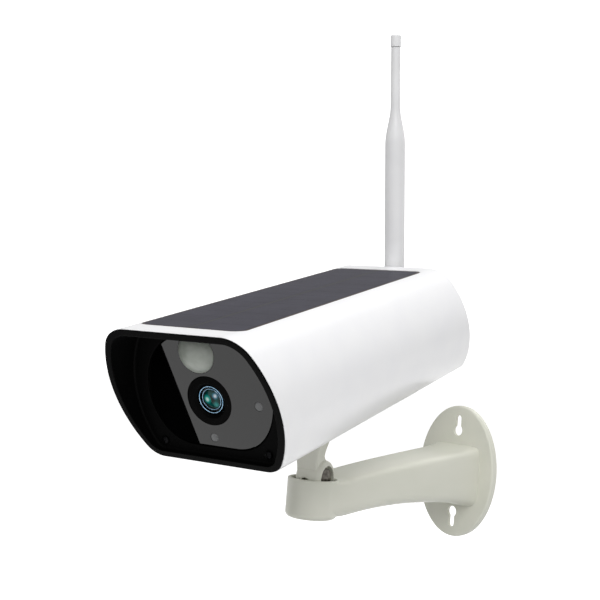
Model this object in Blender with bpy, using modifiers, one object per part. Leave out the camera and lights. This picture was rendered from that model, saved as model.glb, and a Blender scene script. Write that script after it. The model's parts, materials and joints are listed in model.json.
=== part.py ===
"""Solar-powered wall camera on an adjustable arm bracket, in metres, +Z up.

The origin is the centre of the wall plate's back face. The wall is the plane Y = 0, and the
arm reaches out along -Y. The camera head has a frame of its own: X across, -Y to the front,
+Z up, with its origin at the middle of the body.
"""
import bmesh
import bpy
from math import asin, atan, atan2, cos, hypot, pi, radians, sin, sqrt
from mathutils import Matrix

MM = 0.001
GAP = 0.3 * MM  # between pieces that touch
RUNNING_GAP = 0.2 * MM  # radial, a shank in its hole

# head body: an extruded sleeve whose two ends are raked in parallel
HEAD_WIDTH = 97.4 * MM
HEAD_HEIGHT = 72.0 * MM
HEAD_LENGTH = 234.0 * MM
SLEEVE_WALL = 1.8 * MM
SIDE_ARC_RADIUS = 59.6 * MM
TOP_CORNER_RADIUS = 16.2 * MM
BOTTOM_CORNER_RADIUS = 11.1 * MM
END_RAKE = 0.43  # run per rise: the bottom of each end lies further back

# solar panel, let into the top of the sleeve
PANEL_SIDE_MARGIN = 18.55 * MM
PANEL_END_MARGIN = 14.4 * MM
PANEL_WIDTH = HEAD_WIDTH - 2 * PANEL_SIDE_MARGIN
PANEL_LENGTH = HEAD_LENGTH - 2 * PANEL_END_MARGIN
PANEL_CORNER_RADIUS = 6.0 * MM
PANEL_THICKNESS = 1.6 * MM
PANEL_SUNK = 0.2 * MM
BED_THICKNESS = 1.8 * MM
BED_MARGIN = 1.6 * MM  # how far the bed lies inside the panel's sides

# front: hood lining, glass and what shows in it
HOOD_INSET = 1.2 * MM  # lining set back from the sleeve's rim
LINING_WALL = 1.5 * MM
FACE_DEPTH = 13.3 * MM  # face plane behind the rim, both taken at mid height
FACE_SLOPE = 0.15
FACE_PLATE = 4.2 * MM
LINING_INSET = SLEEVE_WALL + GAP + LINING_WALL
GLASS_SIDE_MARGIN = 8.4 * MM  # from the lining's inside to the glass
GLASS_TOP_MARGIN = 2.9 * MM
GLASS_BOTTOM_MARGIN = 5.0 * MM
GLASS_HALF_WIDTH = HEAD_WIDTH / 2 - LINING_INSET - GLASS_SIDE_MARGIN
GLASS_TOP = HEAD_HEIGHT / 2 - LINING_INSET - GLASS_TOP_MARGIN
GLASS_BOTTOM = -HEAD_HEIGHT / 2 + LINING_INSET + GLASS_BOTTOM_MARGIN
GLASS_SIDE_RADIUS = 31.0 * MM
GLASS_TOP_CORNER = 14.0 * MM
GLASS_BOTTOM_CORNER = 22.0 * MM
GLASS_THICKNESS = 2.0 * MM
GLASS_LEDGE = 1.8 * MM
DOME_RADIUS = 10.4 * MM
DOME_RISE = 5.4 * MM
DOME_SIDE = -4.0 * MM  # the dome sits a little off the middle, over the left of the lens
DOME_WALL = 0.9 * MM
DOME_FLANGE = 1.2 * MM  # how far the dome's foot reaches behind the glass
DOME_DROP = 14.7 * MM  # from the top of the sleeve to the dome's centre
DOME_HEIGHT = HEAD_HEIGHT / 2 - DOME_DROP
HEAT_SENSOR_RADIUS = 4.1 * MM
HEAT_SENSOR_HEIGHT = 4.2 * MM
SURROUND_RADIUS = 12.8 * MM
SURROUND_DEPTH = 6.0 * MM
SURROUND_TO_DOME = 1.3 * MM
LENS_HEIGHT = DOME_HEIGHT - DOME_RADIUS - SURROUND_TO_DOME - SURROUND_RADIUS
LENS_RADIUS = 7.6 * MM
LENS_RECESS = 1.6 * MM
LENS_LIP = 1.3 * MM
LENS_BORE = LENS_RADIUS - 2.5 * MM
BARREL_BACK = -14.0 * MM  # behind the face plane
ELEMENT_SEAT = 3.6 * MM
LENS_HOLDER_SIDE = 20.0 * MM
LENS_HOLDER_DEPTH = 6.0 * MM
SENSOR_BOARD = (38.0 * MM, 32.0 * MM)
IMAGE_SENSOR = (7.0 * MM, 6.0 * MM, 1.2 * MM)
WINDOW_RADIUS = 2.2 * MM
WINDOW_DEPTH = 2.6 * MM
WINDOW_SPREAD = 28.6 * MM
STATUS_MARGIN = 4.5 * MM  # from the bottom of the glass to the status light
STATUS_HEIGHT = GLASS_BOTTOM + STATUS_MARGIN
FRONT_SCREW_SIDE = 17.7 * MM  # in from the sleeve's side
FRONT_SCREW_RISE = 8.0 * MM  # up from the sleeve's bottom
FRONT_SCREW_SPREAD = HEAD_WIDTH / 2 - FRONT_SCREW_SIDE
FRONT_SCREW_HEIGHT = -HEAD_HEIGHT / 2 + FRONT_SCREW_RISE
FRONT_SCREW_RADIUS = 2.3 * MM
FRONT_SCREW_LENGTH = 8.0 * MM
SMALL_SHANK_RADIUS = 1.2 * MM
CROSS_SLOT = 0.7 * MM  # width of a driver slot in the small screws

# rear cap and what it carries
REAR_RECESS = 11.0 * MM
REAR_CAP_THICKNESS = 5.0 * MM
FITTING_DEPTH = 3.0 * MM  # how far the fittings reach behind the cap
REAR_SCREW_SPREAD = 33.0 * MM
REAR_SCREW_HEIGHT = 17.0 * MM
REAR_SCREW_RADIUS = 2.6 * MM
REAR_SCREW_SINK = 2.0 * MM
PORT_COVER_WIDTH = 38.0 * MM
PORT_COVER_HEIGHT = 15.0 * MM
PORT_COVER_THICKNESS = 2.0 * MM
PORT_COVER_CENTRE = -4.0 * MM
PORT_POCKET_CORNER = 1.0 * MM
FINGER_LIP = (10.0 * MM, 2.4 * MM, 1.6 * MM)
USB_X = -10.0 * MM
USB_SHELL = (9.0 * MM, 3.4 * MM)
USB_CORNER = 1.5 * MM
USB_WALL = 0.5 * MM
USB_MOUTH_DEPTH = 5.0 * MM
CARD_X = 6.0 * MM
CARD_SLOT = (13.0 * MM, 2.2 * MM)
CARD_WALL = 0.6 * MM
CARD_MOUTH_DEPTH = 4.0 * MM
RESET_X = 15.6 * MM
RESET_BUTTON_RADIUS = 1.2 * MM
RESET_BUTTON_TRAVEL = 0.4 * MM
POWER_BUTTON_HEIGHT = -22.0 * MM
POWER_BUTTON_RADIUS = 4.5 * MM
POWER_BUTTON_TRAVEL = 0.8 * MM
SPEAKER_SPREAD = 19.0 * MM
SPEAKER_HEIGHT = 15.0 * MM
SPEAKER_RADIUS = 8.5 * MM
SPEAKER_DEPTH = 5.0 * MM
GRILLE_HOLE_RADIUS = 0.9 * MM
GRILLE_RING_RADIUS = 4.4 * MM
MICROPHONE_RADIUS = 3.0 * MM
MICROPHONE_DEPTH = 3.0 * MM
MICROPHONE_HOLE_RADIUS = 0.8 * MM

# antenna: a hinged stick on a screw connector
CONNECTOR_DROP = 12.0 * MM  # below the top of the sleeve
CONNECTOR_RADIUS = 3.1 * MM
CONNECTOR_LENGTH = 4.2 * MM  # of thread outside the boss
CONNECTOR_FLANGE_RADIUS = 5.0 * MM
CONNECTOR_FLANGE = 2.2 * MM
CONNECTOR_NUT = 2.0 * MM
CONNECTOR_BOSS_RADIUS = 8.0 * MM
CONNECTOR_BOSS_RISE = 4.1 * MM  # out of the cap, on the connector's axis
CONNECTOR_BOSS_DEPTH = 14.3 * MM
HINGE_SETBACK = 9.7 * MM  # elbow's hinge behind the boss face
ELBOW_RADIUS = 5.3 * MM
ELBOW_STANDOFF = 2.7 * MM  # elbow's end from the boss face, over the nut
ELBOW_FLOOR = 3.6 * MM
ELBOW_CUP = 3.2 * MM
ELBOW_SOCKET_DEPTH = 1.8 * MM
ANTENNA_LEAN = radians(3.5)
ROD_RADIUS = 6.5 * MM
ROD_TIP_RADIUS = 3.0 * MM
ROD_FOOT = 6.0 * MM
ROD_SHOULDER = 90.0 * MM
ROD_NECK = 115.0 * MM
ROD_LENGTH = 159.5 * MM
TIP_CAP_LENGTH = 8.0 * MM
EAR_RADIUS = 4.5 * MM
EAR_OUTSIDE = 5.1 * MM
EAR_INSIDE = 2.7 * MM
HINGE_PIN_RADIUS = 1.2 * MM
SPIGOT_RADIUS = 2.0 * MM

# inside the head
CELL_RADIUS = 9.2 * MM
CELL_LENGTH = 65.2 * MM
CELL_COUNT = 4
CELL_SPACING = 0.8 * MM  # between neighbouring cells
CELL_FRONT = -18.0 * MM
CELL_TERMINAL_RADIUS = 2.8 * MM
CELL_TERMINAL = 1.0 * MM
CHASSIS_THICKNESS = 2.0 * MM
CHASSIS_WIDTH = 56.0 * MM
CARRIER_WIDTH = 44.0 * MM
CARRIER_TOP = 10.0 * MM
CARRIER_THICKNESS = 2.0 * MM
FRONT_PILLAR = (6.0 * MM, 7.0 * MM, 24.0 * MM)
REAR_PILLAR = (7.0 * MM, 8.0 * MM, 46.0 * MM)
REAR_PILLAR_SETBACK = 14.0 * MM  # from the chassis' rear end to the pillar
HOLDER_WIDTH = 70.0 * MM
HOLDER_FLOOR = 4.7 * MM
HOLDER_WALL = 2.0 * MM
BOARD_CLEARANCE = 3.8 * MM  # from the cells to the main board
BOARD_THICKNESS = 1.6 * MM
INSERT_RADIUS = 5.0 * MM
INSERT_FLANGE_RADIUS = 8.0 * MM
INSERT_HEIGHT = 8.0 * MM
STUD_RADIUS = 3.1 * MM

# bracket: wall plate, arm and tip cup
PLATE_WIDTH = 60.6 * MM
PLATE_HEIGHT = 86.8 * MM
PLATE_THICKNESS = 5.6 * MM
PLATE_EDGE = 1.4 * MM
KEYHOLE_HEIGHT = 27.0 * MM
KEYHOLE_RADIUS = 3.6 * MM
KEYHOLE_SLOT_RADIUS = 2.3 * MM
KEYHOLE_SLOT_LENGTH = 6.6 * MM
KEYHOLE_WEB = 2.4 * MM  # plate left in front of the pocket that takes the wall screw's head
KEYHOLE_POCKET_MARGIN = 3.0 * MM
ARM_REACH = 140.0 * MM
ARM_ROOT_HALF_WIDTH = 18.0 * MM
ARM_ROOT_TOP = 16.6 * MM
ARM_BOTTOM = (-22.5 * MM, -17.0 * MM, -20.8 * MM)  # at the tip, the middle and the root
ARM_SQUARENESS = 5.5  # exponent of the arm's rounded cross-section
ARM_FLARE_START = 0.86  # share of the arm's length where the root starts to flare
ARM_FLARE = (1.2 * MM, 1.2 * MM)  # sideways, and up and down

# joints of the bracket
PAN_REST = radians(15.5)
TILT_REST = radians(13.2)
TILT_AXIS_HEIGHT = 0.4 * MM
BARREL_RADIUS = 10.5 * MM
BARREL_HALF_LENGTH = 9.0 * MM  # to the bolt head's side
BARREL_NUT_SIDE = 7.0 * MM  # to the nut's side
BARREL_EDGE = 2.6 * MM
TONGUE_HALF_WIDTH = 3.4 * MM
TONGUE_RADIUS = BARREL_RADIUS - 3.6 * MM
TONGUE_CLEARANCE = 0.7 * MM
NECK_HALF_DEPTH = 4.2 * MM
YOKE_BASE_THICKNESS = 4.4 * MM
YOKE_CLEARANCE = 0.7 * MM  # from the knuckle's barrel to the yoke's base
FRICTION_DISC_THICKNESS = 0.6 * MM
BOLT_RADIUS = 2.4 * MM
BOLT_HEAD_RADIUS = 6.0 * MM
BOLT_HEAD_RISE = 3.0 * MM
BOLT_HEAD_EDGE = 0.8 * MM
BOLT_RECESS_RADIUS = BOLT_HEAD_RADIUS + 1.4 * MM
BOLT_RECESS_DEPTH = 2.6 * MM
NUT_RADIUS = 4.6 * MM
NUT_THICKNESS = 1.6 * MM
NUT_RECESS_DEPTH = 2.0 * MM
SLOT_RELIEF_RADIUS = 2.8 * MM
WASHER_THICKNESS = 0.8 * MM
PAN_SCREW_HEAD_RADIUS = 5.2 * MM
PAN_SCREW_HEAD = 2.2 * MM
PAN_SCREW_SLOT = 1.0 * MM

# post of the knuckle, in the tilt axis' frame
POST_EDGE = 1.2 * MM
POST_FRONT = -7.7 * MM
POST_HALF_WIDTH = 6.9 * MM
POST_BACK_FOOT = 6.6 * MM
POST_FOOT_HEIGHT = 6.0 * MM
POST_BACK_WAIST = 2.4 * MM
POST_WAIST_HEIGHT = 12.6 * MM
POST_TOP_HALF_WIDTH = 9.6 * MM
POST_BACK_TOP = 6.3 * MM
POST_TOP_HEIGHT = 25.0 * MM
POST_HEIGHT = 37.0 * MM  # tilt axis to the underside of the head
HEAD_FORWARD = 11.2 * MM  # head centre in front of the tilt axis
STUD_Y = (POST_FRONT + POST_BACK_TOP) / 2
STUD_DEPTH = 11.0 * MM  # of the stud in the post

# the tip's cup, round the knuckle's barrel and the yoke
CUP_CLEARANCE = 0.3 * MM
CUP_RADIUS = (hypot(BARREL_HALF_LENGTH - BARREL_EDGE, BARREL_RADIUS - BARREL_EDGE) + BARREL_EDGE
              + CUP_CLEARANCE)
CUP_WALL = 1.6 * MM
CUP_DEPTH = (BARREL_RADIUS - TILT_AXIS_HEIGHT + YOKE_CLEARANCE + YOKE_BASE_THICKNESS
             + FRICTION_DISC_THICKNESS + 2 * GAP)
CUP_CHAMFER = 0.5 * MM
CUP_FLOOR = 2.2 * MM
SCREW_POCKET_RADIUS = PAN_SCREW_HEAD_RADIUS + 1.2 * MM
SCREW_POCKET_DEPTH = 4.2 * MM
TIP_RADIUS = CUP_RADIUS + CUP_WALL
TIP_HEIGHT = CUP_DEPTH + CUP_FLOOR + SCREW_POCKET_DEPTH
TIP_EDGE = 3.0 * MM
TIP_RIM_EDGE = 0.8 * MM

HALF_HEIGHT = HEAD_HEIGHT / 2
HALF_LENGTH = HEAD_LENGTH / 2
OVER = 1.0 * MM  # how far a cutter reaches past what it cuts

for old in list(bpy.data.objects):
    bpy.data.objects.remove(old)

camera_parts = bpy.data.collections.new("solar_wall_camera")
cutter_parts = bpy.data.collections.new("cutters")
for collection in (camera_parts, cutter_parts):
    bpy.context.scene.collection.children.link(collection)


# materials
def material(name, color, roughness, metallic=0.0, transmission=0.0):
    made = bpy.data.materials.new(name)
    made.use_nodes = True
    shader = made.node_tree.nodes["Principled BSDF"]
    shader.inputs["Base Color"].default_value = (*color, 1.0)
    shader.inputs["Roughness"].default_value = roughness
    shader.inputs["Metallic"].default_value = metallic
    shader.inputs["Transmission Weight"].default_value = transmission
    made.diffuse_color = (*color, 1.0)
    return made


WHITE_PAINT = material("white_painted_aluminium", (0.86, 0.86, 0.87), 0.35)
BRACKET_WHITE = material("grey_white_moulded_plastic", (0.74, 0.75, 0.69), 0.45)
ANTENNA_WHITE = material("white_antenna_plastic", (0.82, 0.83, 0.83), 0.4)
BLACK_PLASTIC = material("black_moulded_plastic", (0.012, 0.012, 0.013), 0.45)
BLACK_RUBBER = material("black_rubber", (0.02, 0.02, 0.02), 0.8)
SMOKED_ACRYLIC = material("smoked_acrylic", (0.03, 0.03, 0.032), 0.08)
SOLAR_CELL = material("solar_laminate", (0.035, 0.035, 0.06), 0.2)
FRESNEL_PLASTIC = material("milky_sensor_dome", (0.45, 0.48, 0.45), 0.35)
COATED_GLASS = material("coated_lens_glass", (0.02, 0.09, 0.1), 0.03)
SMOKED_WINDOW = material("smoked_window", (0.11, 0.11, 0.11), 0.2)
STEEL = material("steel", (0.55, 0.54, 0.52), 0.3, 1.0)
BLACK_STEEL = material("black_steel", (0.03, 0.03, 0.03), 0.4, 0.8)
BRASS = material("brass", (0.7, 0.55, 0.25), 0.3, 1.0)
GOLD_PLATE = material("plated_brass", (0.8, 0.62, 0.3), 0.25, 1.0)
BOARD_GREEN = material("circuit_board", (0.02, 0.12, 0.06), 0.5)
CELL_WRAP = material("cell_wrap", (0.05, 0.18, 0.4), 0.4)
NYLON = material("nylon", (0.75, 0.75, 0.7), 0.6)


# frames
def empty(name, parent=None, location=(0, 0, 0), rotation=(0, 0, 0)):
    made = bpy.data.objects.new(name, None)
    camera_parts.objects.link(made)
    made.empty_display_size = 0.01
    made.parent = parent
    made.location = location
    made.rotation_euler = rotation
    return made


pan_axis = empty("pan_axis", None, (0, -ARM_REACH, 0), (0, 0, PAN_REST))
tilt_axis = empty("tilt_axis", pan_axis, (0, 0, TILT_AXIS_HEIGHT), (TILT_REST, 0, 0))
head = empty("head_frame", tilt_axis, (0, -HEAD_FORWARD, POST_HEIGHT + HALF_HEIGHT))

# on the face plane at mid height, local +Z out of the face and local +Y up along it
FACE_Y = -HALF_LENGTH + END_RAKE * HALF_HEIGHT + FACE_DEPTH
face = empty("face_frame", head, (0, FACE_Y, 0), (pi / 2 + atan(FACE_SLOPE), 0, 0))

# on the rear cap's outer plane at mid height, local +Z out of the cap, local +Y down along it
CAP_Y = HALF_LENGTH + END_RAKE * HALF_HEIGHT - REAR_RECESS
RAKE_ANGLE = atan(END_RAKE)
rear = empty("rear_frame", head, (0, CAP_Y, 0), (RAKE_ANGLE - pi / 2, 0, 0))
ALONG_CAP = 1 / cos(RAKE_ANGLE)  # a rise in head Z, measured along the raked cap

# in the head frame: connector, chassis, cells and main board, from the ends and the floor
CONNECTOR_HEIGHT = HALF_HEIGHT - CONNECTOR_DROP
BOSS_FACE = CAP_Y - END_RAKE * CONNECTOR_HEIGHT + CONNECTOR_BOSS_RISE
BOSS_BACK = BOSS_FACE - CONNECTOR_BOSS_DEPTH
STUD_HEAD_Y = STUD_Y + HEAD_FORWARD
CHASSIS_FLOOR = -HALF_HEIGHT + SLEEVE_WALL + GAP
CHASSIS_TOP = CHASSIS_FLOOR + CHASSIS_THICKNESS
CHASSIS_FRONT = FACE_Y + FACE_PLATE + HALF_HEIGHT * FACE_SLOPE + 0.6 * MM
CHASSIS_BACK = CAP_Y - REAR_CAP_THICKNESS * ALONG_CAP - 1.0 * MM
CELL_PITCH = 2 * CELL_RADIUS + CELL_SPACING
CELL_HEIGHT = CHASSIS_TOP + GAP + HOLDER_FLOOR + GAP + CELL_RADIUS
BOARD_HEIGHT = CELL_HEIGHT + CELL_RADIUS + BOARD_CLEARANCE

FORWARD = (pi / 2, 0, 0)  # turns local +Z to the head's front
BACKWARD = (-pi / 2, 0, 0)  # turns local +Z to the head's rear
SIDEWAYS = (0, pi / 2, 0)  # turns local +Z to +X
# turns a prism drawn in (Y, Z), so that it is extruded along X
ACROSS = Matrix(((0, 0, 1, 0), (1, 0, 0, 0), (0, 1, 0, 0), (0, 0, 0, 1)))


# modelling helpers
def add(name, mesh, finish=None, parent=None, location=(0, 0, 0), rotation=(0, 0, 0)):
    """Place a mesh as a named part, or as a cutter when it has no finish."""
    made = bpy.data.objects.new(name, mesh)
    (camera_parts if finish else cutter_parts).objects.link(made)
    made.parent = parent
    made.location = location
    made.rotation_euler = rotation
    if finish:
        mesh.materials.append(finish)
    else:
        made.hide_render = True
        made.display_type = "WIRE"
    return made


def mesh_of(name, bm, sharp=radians(35)):
    bmesh.ops.recalc_face_normals(bm, faces=bm.faces)
    mesh = bpy.data.meshes.new(name)
    bm.to_mesh(mesh)
    bm.free()
    mesh.shade_smooth()
    mesh.set_sharp_from_angle(angle=sharp)
    return mesh


def box_mesh(name, size, centre=(0, 0, 0)):
    bm = bmesh.new()
    bmesh.ops.create_cube(bm, size=1.0)
    bmesh.ops.scale(bm, vec=size, verts=bm.verts)
    bmesh.ops.translate(bm, vec=centre, verts=bm.verts)
    return mesh_of(name, bm)


def rod_mesh(name, radius, bottom, top, segments=24, top_radius=None):
    """A round or tapered rod along local Z."""
    bm = bmesh.new()
    bmesh.ops.create_cone(bm, cap_ends=True, segments=segments, radius1=radius,
                          radius2=radius if top_radius is None else top_radius,
                          depth=top - bottom)
    bmesh.ops.translate(bm, vec=(0, 0, (top + bottom) / 2), verts=bm.verts)
    return mesh_of(name, bm)


def prism_mesh(name, outline, bottom, top):
    """A flat outline in local XY, extruded along local Z."""
    bm = bmesh.new()
    base = bm.faces.new([bm.verts.new((x, y, bottom)) for x, y in outline])
    grown = bmesh.ops.extrude_face_region(bm, geom=[base])["geom"]
    raised = [item for item in grown if isinstance(item, bmesh.types.BMVert)]
    bmesh.ops.translate(bm, vec=(0, 0, top - bottom), verts=raised)
    return mesh_of(name, bm)


def loft_mesh(name, loops, closed=False):
    """Skin through loops of equally many points: capped ends, or a ring when closed."""
    bm = bmesh.new()
    rows = [[bm.verts.new(point) for point in loop] for loop in loops]
    count = len(loops[0])
    pairs = list(zip(rows, rows[1:])) + ([(rows[-1], rows[0])] if closed else [])
    for first, second in pairs:
        for i in range(count):
            j = (i + 1) % count
            bm.faces.new((first[i], first[j], second[j], second[i]))
    if not closed:
        bm.faces.new(rows[0])
        bm.faces.new(rows[-1])
    bmesh.ops.triangulate(bm, faces=bm.faces)
    return mesh_of(name, bm)


def turned(name, profile, finish, parent=None, location=(0, 0, 0), rotation=(0, 0, 0),
           segments=32, ring=False):
    """Turn a (radius, height) profile, listed top to bottom on its outer side, about Z."""
    mesh = bpy.data.meshes.new(name)
    count = len(profile)
    edges = [(i, i + 1) for i in range(count - 1)] + ([(count - 1, 0)] if ring else [])
    mesh.from_pydata([(r, 0, z) for r, z in profile], edges, [])
    made = add(name, mesh, finish, parent, location, rotation)
    screw = made.modifiers.new("turn", "SCREW")
    screw.steps = screw.render_steps = segments
    screw.use_merge_vertices = True
    screw.merge_threshold = 0.00001
    screw.use_smooth_shade = True
    return made


def bevel(target, width, segments=2, angle=radians(40)):
    edge = target.modifiers.new("rounded edges", "BEVEL")
    edge.width = width
    edge.segments = segments
    edge.limit_method = "ANGLE"
    edge.angle_limit = angle
    return target


def boolean(target, tool, operation="DIFFERENCE"):
    step = target.modifiers.new(tool.name, "BOOLEAN")
    step.object = tool
    step.operation = operation
    step.solver = "EXACT"
    return target


def cut_with(target, mesh, parent=None, location=(0, 0, 0), rotation=(0, 0, 0)):
    return boolean(target, add(mesh.name, mesh, None, parent, location, rotation))


def join_with(target, mesh, parent=None, location=(0, 0, 0), rotation=(0, 0, 0)):
    tool = add(mesh.name, mesh, None, parent, location, rotation)
    return boolean(target, tool, "UNION")


def cut_cross(screw, name, slot, parent, location):
    """Driver slots in a screw head; slot is their length, width and depth."""
    length, width, depth = slot
    for i in range(2):
        blade = box_mesh(f"{name}_slot_{i}", (length, width, 2 * depth))
        cut_with(screw, blade, parent, location, (0, 0, i * pi / 2))


def arc(centre, radius, start, end, steps):
    return [(centre[0] + radius * cos(start + (end - start) * i / steps),
             centre[1] + radius * sin(start + (end - start) * i / steps))
            for i in range(steps + 1)]


def barrel_outline(half_width, side_radius, top, bottom, top_corner, bottom_corner, fine=1):
    """A flat top and bottom joined by bulging sides, symmetric in X, anticlockwise."""
    side = (half_width - side_radius, 0.0)
    corners = []
    for height, radius, sign in ((top, top_corner, 1), (bottom, bottom_corner, -1)):
        z = height - sign * radius
        x = side[0] + sqrt((side_radius - radius) ** 2 - z ** 2)
        corners.append(((x, z), radius, atan2(z, x - side[0])))
    (top_centre, top_r, top_angle), (bottom_centre, bottom_r, bottom_angle) = corners
    right = arc(bottom_centre, bottom_r, -pi / 2, bottom_angle, 5 * fine)
    right += arc(side, side_radius, bottom_angle, top_angle, 8 * fine)[1:-1]
    right += arc(top_centre, top_r, top_angle, pi / 2, 6 * fine)
    return right + [(-x, z) for x, z in reversed(right)]


def sleeve_outline(inset):
    """The sleeve's cross-section, moved in by an inset."""
    return barrel_outline(HEAD_WIDTH / 2 - inset, SIDE_ARC_RADIUS - inset,
                          HALF_HEIGHT - inset, -HALF_HEIGHT + inset,
                          TOP_CORNER_RADIUS - inset, BOTTOM_CORNER_RADIUS - inset)


def glass_outline(grow):
    return barrel_outline(GLASS_HALF_WIDTH + grow, GLASS_SIDE_RADIUS + grow,
                          GLASS_TOP + grow, GLASS_BOTTOM - grow,
                          GLASS_TOP_CORNER + grow, GLASS_BOTTOM_CORNER + grow)


def at_rake(outline, start):
    """Lay an (x, z) outline on a plane parallel to the raked ends."""
    return [(x, start + END_RAKE * (HALF_HEIGHT - z), z) for x, z in outline]


def at_face(outline, behind):
    """Lay an (x, z) outline on a plane parallel to the front face."""
    return [(x, FACE_Y + behind - FACE_SLOPE * z, z) for x, z in outline]


def rounded_rectangle(width, height, radius, steps=4):
    points = []
    for i, (sx, sy) in enumerate(((1, 1), (-1, 1), (-1, -1), (1, -1))):
        centre = (sx * (width / 2 - radius), sy * (height / 2 - radius))
        points += arc(centre, radius, i * pi / 2, (i + 1) * pi / 2, steps)
    return points


def circle(radius, sides, turn=0.0):
    return [(radius * cos(2 * pi * i / sides + turn), radius * sin(2 * pi * i / sides + turn))
            for i in range(sides)]


def on_cap(x, height):
    """A place on the rear cap's outer plane, from a head X and Z, in the rear frame."""
    return (x, -height * ALONG_CAP, 0)


# bracket
def arm_section(behind):
    """One cross-section of the arm, a distance behind the tip's axis."""
    length = ARM_REACH - PLATE_THICKNESS
    run = behind / length
    flare = max(0.0, (run - ARM_FLARE_START) / (1 - ARM_FLARE_START)) ** 2
    half_width = TIP_RADIUS + (ARM_ROOT_HALF_WIDTH - TIP_RADIUS) * run + ARM_FLARE[0] * flare
    # the top lies just under the tip's rim, and climbs behind the cup
    climb = max(0.0, (behind - TIP_RADIUS) / (length - TIP_RADIUS))
    top = ARM_ROOT_TOP * climb ** 0.8 + ARM_FLARE[1] * flare - 0.05 * MM
    first, middle, last = ARM_BOTTOM
    sag = 2 * middle - (first + last) / 2
    bottom = first * (1 - run) ** 2 + 2 * sag * run * (1 - run) + last * run ** 2
    bottom -= ARM_FLARE[1] * flare
    centre, half_height = (top + bottom) / 2, (top - bottom) / 2
    points = []
    for x, z in circle(1, 24, turn=pi / 24):
        x = half_width * abs(x) ** (2 / ARM_SQUARENESS) * (1 if x > 0 else -1)
        z = half_height * abs(z) ** (2 / ARM_SQUARENESS) * (1 if z > 0 else -1)
        points.append((x, behind - ARM_REACH, centre + z))
    return points


def keyhole_outline(sign):
    """A round entry and a narrower slot, which runs up for +1 and down for -1."""
    theta = asin(KEYHOLE_SLOT_RADIUS / KEYHOLE_RADIUS)
    slot_centre = KEYHOLE_RADIUS + KEYHOLE_SLOT_LENGTH - KEYHOLE_SLOT_RADIUS
    outline = arc((0, 0), KEYHOLE_RADIUS, pi / 2 + theta, 5 * pi / 2 - theta, 18)
    outline += arc((0, slot_centre), KEYHOLE_SLOT_RADIUS, 0, pi, 8)
    return [(x, sign * y) for x, y in outline][::sign]


def wall_bracket():
    oval = [(x * PLATE_WIDTH / 2, y * PLATE_HEIGHT / 2) for x, y in circle(1, 44)]
    plate = prism_mesh("wall_bracket", oval, 0, PLATE_THICKNESS)
    bracket = add("wall_bracket", plate, BRACKET_WHITE, None, (0, 0, 0), FORWARD)
    bevel(bracket, PLATE_EDGE, 2)
    for name, sign in (("top", 1), ("bottom", -1)):
        keyhole = prism_mesh(f"keyhole_{name}", keyhole_outline(sign), -OVER,
                             PLATE_THICKNESS + OVER)
        cut_with(bracket, keyhole, None, (0, 0, sign * KEYHOLE_HEIGHT), FORWARD)
        margin = KEYHOLE_POCKET_MARGIN
        pocket = rounded_rectangle(2 * (KEYHOLE_RADIUS + margin),
                                   2 * KEYHOLE_RADIUS + KEYHOLE_SLOT_LENGTH + 2 * margin, margin)
        cut_with(bracket, prism_mesh(f"pocket_{name}", pocket, -OVER,
                                     PLATE_THICKNESS - KEYHOLE_WEB),
                 None, (0, 0, sign * (KEYHOLE_HEIGHT + KEYHOLE_SLOT_LENGTH / 2)), FORWARD)
    root = ARM_REACH - PLATE_THICKNESS / 2
    stations = [0] + [TIP_RADIUS + (root - TIP_RADIUS) * i / 8 for i in range(9)]
    join_with(bracket, loft_mesh("arm_solid", [arm_section(behind) for behind in stations]))
    tip = [(0, 0), (TIP_RADIUS - TIP_RIM_EDGE, 0), (TIP_RADIUS - 0.3 * TIP_RIM_EDGE,
                                                    -0.3 * TIP_RIM_EDGE),
           (TIP_RADIUS, -TIP_RIM_EDGE), (TIP_RADIUS, -TIP_HEIGHT + TIP_EDGE)]
    tip += [(TIP_RADIUS - TIP_EDGE * (1 - cos(a)), -TIP_HEIGHT + TIP_EDGE * (1 - sin(a)))
            for a in (radians(30), radians(60), radians(90))]
    boolean(bracket, turned("tip_solid", tip + [(0, -TIP_HEIGHT)], None, None,
                            (0, -ARM_REACH, 0), segments=36), "UNION")
    hole = BOLT_RADIUS + RUNNING_GAP
    pocket_roof = -TIP_HEIGHT + SCREW_POCKET_DEPTH
    bore = [(0, OVER), (CUP_RADIUS + CUP_CHAMFER + OVER, OVER), (CUP_RADIUS, -CUP_CHAMFER),
            (CUP_RADIUS, -CUP_DEPTH), (hole, -CUP_DEPTH), (hole, pocket_roof),
            (SCREW_POCKET_RADIUS, pocket_roof), (SCREW_POCKET_RADIUS, -TIP_HEIGHT - OVER),
            (0, -TIP_HEIGHT - OVER)]
    boolean(bracket, turned("tip_bore", bore, None, None, (0, -ARM_REACH, 0), segments=36))


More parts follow.
